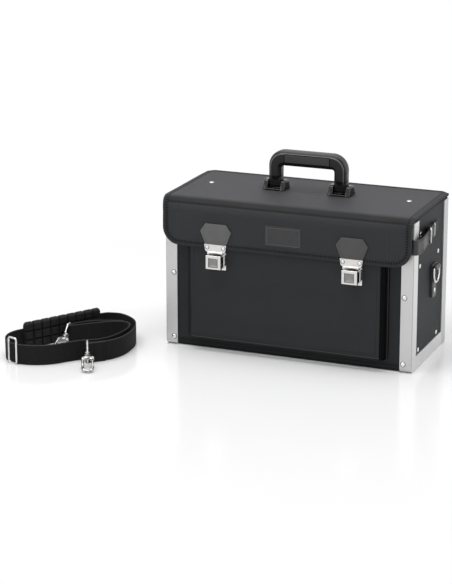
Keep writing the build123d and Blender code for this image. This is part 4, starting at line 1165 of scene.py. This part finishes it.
def handle_shell():
    """An eight-sided section with soft edges carried up one arm, across and down the other. The
    section is 22 mm wide on the arms and 26 on the grip, and narrows to the neck at each end."""
    line = rounded(doubled([(arm_x, handle_y, neck_z), (arm_x, handle_y, grip_z)], 0), 16.0, False, 15)
    line = resample(line, 1.6)
    cut = 5.0 / arm_half
    half = [(-1, -1 + cut), (-1 + cut, -1), (1 - cut, -1), (1, -1 + cut)]
    eight = rounded(half + [(-a, -b) for a, b in half], 0.09, True, 4)
    along = lengths(line)
    end = np.minimum(along, along[-1] - along)
    grip = smooth((end - 18) / 26)
    neck = smooth((end - 0.5) / 6.5)
    across = (arm_half + 2.0 * grip) * (0.72 + 0.28 * neck)
    deep = arm_half * (0.66 + 0.34 * neck)
    section = np.stack([eight[:, 0] * across[:, None], eight[:, 1] * deep[:, None]], -1)
    around = np.broadcast_to(np.vstack([eight, eight[:1]]), (len(line), len(eight) + 1, 2))
    return shell(carried(line, section, rearward), cloth=around)


def pin_eye(x):
    """The arm's foot: a barrel round the pin with soft ends."""
    eye = doubled([(0.5, -arm_half), (eye_r - 0.8, -arm_half), (eye_r, 0.6 - arm_half)], 1)
    return lathe(eye, 28, (x, handle_y, pin_z), on_side)


def block(low, high, edge):
    """A block between two corners, rounded on its upright edges and its rims."""
    low, high = np.array(low, float), np.array(high, float)
    middle, size = (low + high) / 2, high - low
    rim = plate(box_outline(size[0], size[1], max(edge, 0.2)), size[2], edge, 0, edge)
    return shell(rim + (middle[0], middle[1], low[2]))


def moulded(name, low, high, roughness, shine=0.35, painted_edge_highlights=False):
    """Moulded plastic with a fine spark texture and handling shine in patches. The handle's cloth
    gives its section's two shares, by which paler lines are painted along its long upper and outer
    edges as highlights."""
    plastic = Finish(name, Specular_IOR_Level=shine)
    spark = plastic.noise(0.0006, 2.0)
    rubbed = plastic.noise(0.02, 3.0)
    tone = plastic.mix(rubbed, grey(low), grey(high))
    # Painted highlights: thin paler lines along the upper and outer edges.
    if painted_edge_highlights:
        outward, across = plastic.cloth()
        upper = abs(across).near(0.93, 0.05, 0.06) * outward.near(-0.60, 0.05, 0.06)
        outer = abs(across).near(0.60, 0.05, 0.06) * outward.near(-0.93, 0.05, 0.06)
        tone = plastic.mix((upper * 0.9 + outer * 0.5).maths("MINIMUM", 1.0), tone, grey(96))
    return plastic.wear(tone, roughness + rubbed * 0.12, spark, 0.00006)


def grip_band(width, height, thickness):
    """The same flat plate on the grip's front and back."""
    outline = box_outline(width, height, 1.5, 0, grip_z)
    return [band(outline, thickness, 0.3, (0, handle_y + grip_deep * way, 0), (-way, 0, 0),
                 upward, (0, way, 0)) for way in (1, -1)]


handle_plastic = moulded("handle_plastic", 20, 28, 0.24, 0.26, True)
handle_shells = [handle_shell(), pin_eye(arm_x), pin_eye(-arm_x)]
for x in (arm_x, -arm_x):
    low = (x - arm_half, handle_y - eye_r, pin_z)
    high = (x + arm_half, handle_y + eye_r, neck_z + 6)
    handle_shells.append(block(low, high, 1.2))
piece("handle_moulding", handle_shells, "handle", handle_plastic, ["handle"], "plastic", 50)
# Painted shade: a near-black plate a little larger than each panel, for the groove round it.
painted_shade_plastic = moulded("painted_shade_plastic", 4, 8, 0.6, 0.05)
piece("grip_painted_shade_plates", grip_band(82.5, 15.6, 0.42), "handle", painted_shade_plastic)
grip_plastic = moulded("grip_plastic", 46, 58, 0.42)
piece("grip_panels", grip_band(80, 13.2, 0.8), "handle", grip_plastic, ["handle_grip"], "grip")


def bracket_shells():
    """Two tapered ears with round tops, joined at the foot by a low bed and a bridge at each end."""
    ear = rounded([(-17, 0), (17, 0), (8.4, 17.0), (-8.4, 17.0)], (0.8, 0.8, 5.5, 5.5), True, 7)
    cheek = plate(ear, 8.2, 2.4, 0.5, 1.0)
    low_x, high_x = arm_x - 12, arm_x + 12
    made = [block((low_x, handle_y - 14, lid_top), (high_x, handle_y + 14, 267.8), 0.5)]
    for way in (1, -1):
        origin = (arm_x + way * 11.4, handle_y, lid_top)
        made.append(shell(placed(cheek, origin, (0, way, 0), upward, (way, 0, 0))))
        bridge_y = handle_y + way * 14.2
        made.append(block((low_x, bridge_y - 2.3, lid_top), (high_x, bridge_y + 2.3, 269.3), 1.0))
    return made


bracket_plastic = moulded("bracket_plastic", 8, 14, 0.06, 0.5)
both_sides(("handle_bracket_body_*", bracket_shells(), "lid", bracket_plastic,
            "handle_bracket_*", "plastic", 45))
coat(lock_nickel, "handle_pin_right", "handle_pin_left")


# Side straps: a leather strap from under the flap, round the corner and through a wire buckle,
# which a doubled leather strip holds to the side board; a wire keeper lies over it near its tip.
front_y = -98.4
strap_path = rounded([(184.0, front_y), (224.0, front_y), (228.5, front_y + 24), (228.6, -43.0),
                      (226.6, -27.0), (223.0, -6.0), (223.0, 4.5)], (6, 30, 20, 12, 8))
strap_path = resample(strap_path, 1.2)


def side_strap_points():
    """A flat section carried along the strap's line; its upper and lower edges close in from
    25 mm at the front to 18.6 mm at the tip, which is rounded."""
    y = strap_path[:, 1]
    stops = np.array([-120, -85, -43, 0.5, 4.5])
    low = np.interp(y, stops, [203, 203, 213.2, 214.3, 218.5])
    high = np.interp(y, stops, [228, 228, 233.8, 232.7, 228.5])
    half = (high - low) / 2
    middle = np.column_stack([strap_path, (high + low) / 2])
    section = np.array([(-0.7, 1.0), (0.7, 1.0), (1.1, 0.95), (1.1, 0.5), (1.1, 0), (1.1, -0.5),
                        (1.1, -0.95), (0.7, -1.0), (-0.7, -1.0), (-1.1, -0.95), (-1.1, 0), (-1.1, 0.95)])
    thick = np.broadcast_to(section[:, 0], (len(y), len(section)))
    profile = np.stack([thick, section[:, 1] * half[:, None]], -1)
    return carried(middle, profile, upward), middle, half


buckle_z = 223.5
buckle_bar = np.array((221.8, -27.0))
buckle_far = np.array((231.5, -43.0))


def upright_wire(near, far, height, radius, thick):
    """A wire rectangle between two upright bars at the buckle's height."""
    low, high = buckle_z - height / 2, buckle_z + height / 2
    loop = rounded([(*near, low), (*near, high), (*far, high), (*far, low)], radius, True, 7)
    across = unit(np.subtract((*far, 0.0), (*near, 0.0)))
    return wire(loop, thick, np.cross(across, upward))


def prong_shells():
    """A round pin from the buckle's bar out over its far bar, and the collar that turns on the
    bar."""
    along = unit(np.append(buckle_far - buckle_bar, 0.0))
    out = np.array((-along[1], along[0], 0.0))
    start = np.append(buckle_bar, buckle_z) + out * 0.6
    tip = np.append(buckle_far, buckle_z) + out * 3.1 + along * 1.6
    size = np.interp(np.linspace(0, 1, 14), [0, 0.1, 0.9, 1.0], [1.1, 1.1, 1.05, 0.55])
    collar = [(2.9, -1.1), (3.0, 0.0), (2.9, 1.1), (1.6, 1.1), (1.6, -1.1)]
    return [wire(np.linspace(start, tip, 14), size, upward, False),
            lathe(collar, 20, (*buckle_bar, buckle_z), closed=True)]


def side_leather(corners, radii, thickness, edge):
    """A flat strip of leather on the side board, its outline given along y and z."""
    outline = rounded(corners, radii, True)
    return band(outline, thickness, edge, (side_x, 0, 0), *on_side)


def chape_shells():
    """Two layers of leather: a plate with a round end, and the fold round the buckle's bar, which
    the prong's collar parts in two."""
    flat = side_leather([(-24.5, 214.5), (33, 214.5), (33, 232.5), (-24.5, 232.5)], (0.8, 4, 4, 0.8),
                        3.6, 0.8)
    roll = doubled([(1.85, -3.6), (3.1, -3.6), (3.3, -3.2)], 1)
    return [flat, *[lathe(roll, 24, (*buckle_bar, buckle_z + 5.4 * way), closed=True)
                    for way in (-1, 1)]]


strap_grid, strap_middle, strap_half = side_strap_points()
strap_out = np.cross(unit(np.gradient(strap_middle, axis=0)), upward)
sewn = (strap_middle[:, 1] > -97.5) & (strap_middle[:, 1] < -1.5)
rows = []
for way in (1, -1):
    row = strap_middle + strap_out * 1.15
    row[:, 2] += way * (strap_half - 2.2)
    rows.append(stitches(row[sewn], strap_out[sewn], 3.4, 2.4, 0.3))
buckle = upright_wire(buckle_bar, buckle_far, 25.0, 4.0, 1.5)
keeper = upright_wire((219.1, 9.0), (225.6, -2.0), 21.4, 2.4, 1.0)
both_sides(
    ("side_strap_leather_*", [shell(strap_grid)], "case", strap_leather, "side_strap_*", "leather"),
    ("side_strap_stitches_*", rows, "case", thread),
    ("chape_leather_*", chape_shells(), "case", chape_leather, "strap_chape_*", "leather"),
    ("buckle_wire_*", [buckle], "case", wire_nickel, "strap_buckle_*", "steel"),
    ("keeper_wire_*", [keeper], "case", wire_nickel, "strap_keeper_*", "steel"),
    ("prong_wire_*", prong_shells(), "prong_*", wire_nickel, "buckle_prong_*", "steel"),
)


# Ring tabs: a leather tongue on each side board, doubled over the straight bar of a wire D ring
# and fixed by one rivet and two rows of thread.
ring_bar = (225, 17, 154)
tab = side_leather([(4.5, 102), (29.5, 102), (29.5, 160.5), (4.5, 160.5)], (8, 8, 1.5, 1.5), 4.3, 1.0)
tab_roll = lathe(doubled([(2.2, -12.5), (4.0, -12.5), (4.4, -12.0)], 1), 24, ring_bar,
                 (rightward, upward, rearward), True)
rows = []
for y in (7.0, 27.0):
    row = resample([(222.35, y, 108.0), (222.35, y, 146.0)], 2.0)
    rows.append(stitches(row, rightward, 3.4, 2.4, 0.32))
ring_loop = rounded([(225, 32.1, 154), (225, 1.9, 154), (225, 1.9, 140.25), (225, 10.2, 129),
                     (225, 23.8, 129), (225, 32.1, 140.25)], (2.4, 2.4, 7, 7, 7, 7), True, 9)
ring = wire(ring_loop, 2.0, rightward, True, 14)
both_sides(
    ("ring_tab_leather_*", [tab, tab_roll], "case", strap_leather, "ring_tab_*", "leather"),
    ("ring_tab_stitches_*", rows, "case", thread),
    ("d_ring_wire_*", [ring], "ring_*", wire_nickel, "d_ring_*", "steel"),
)
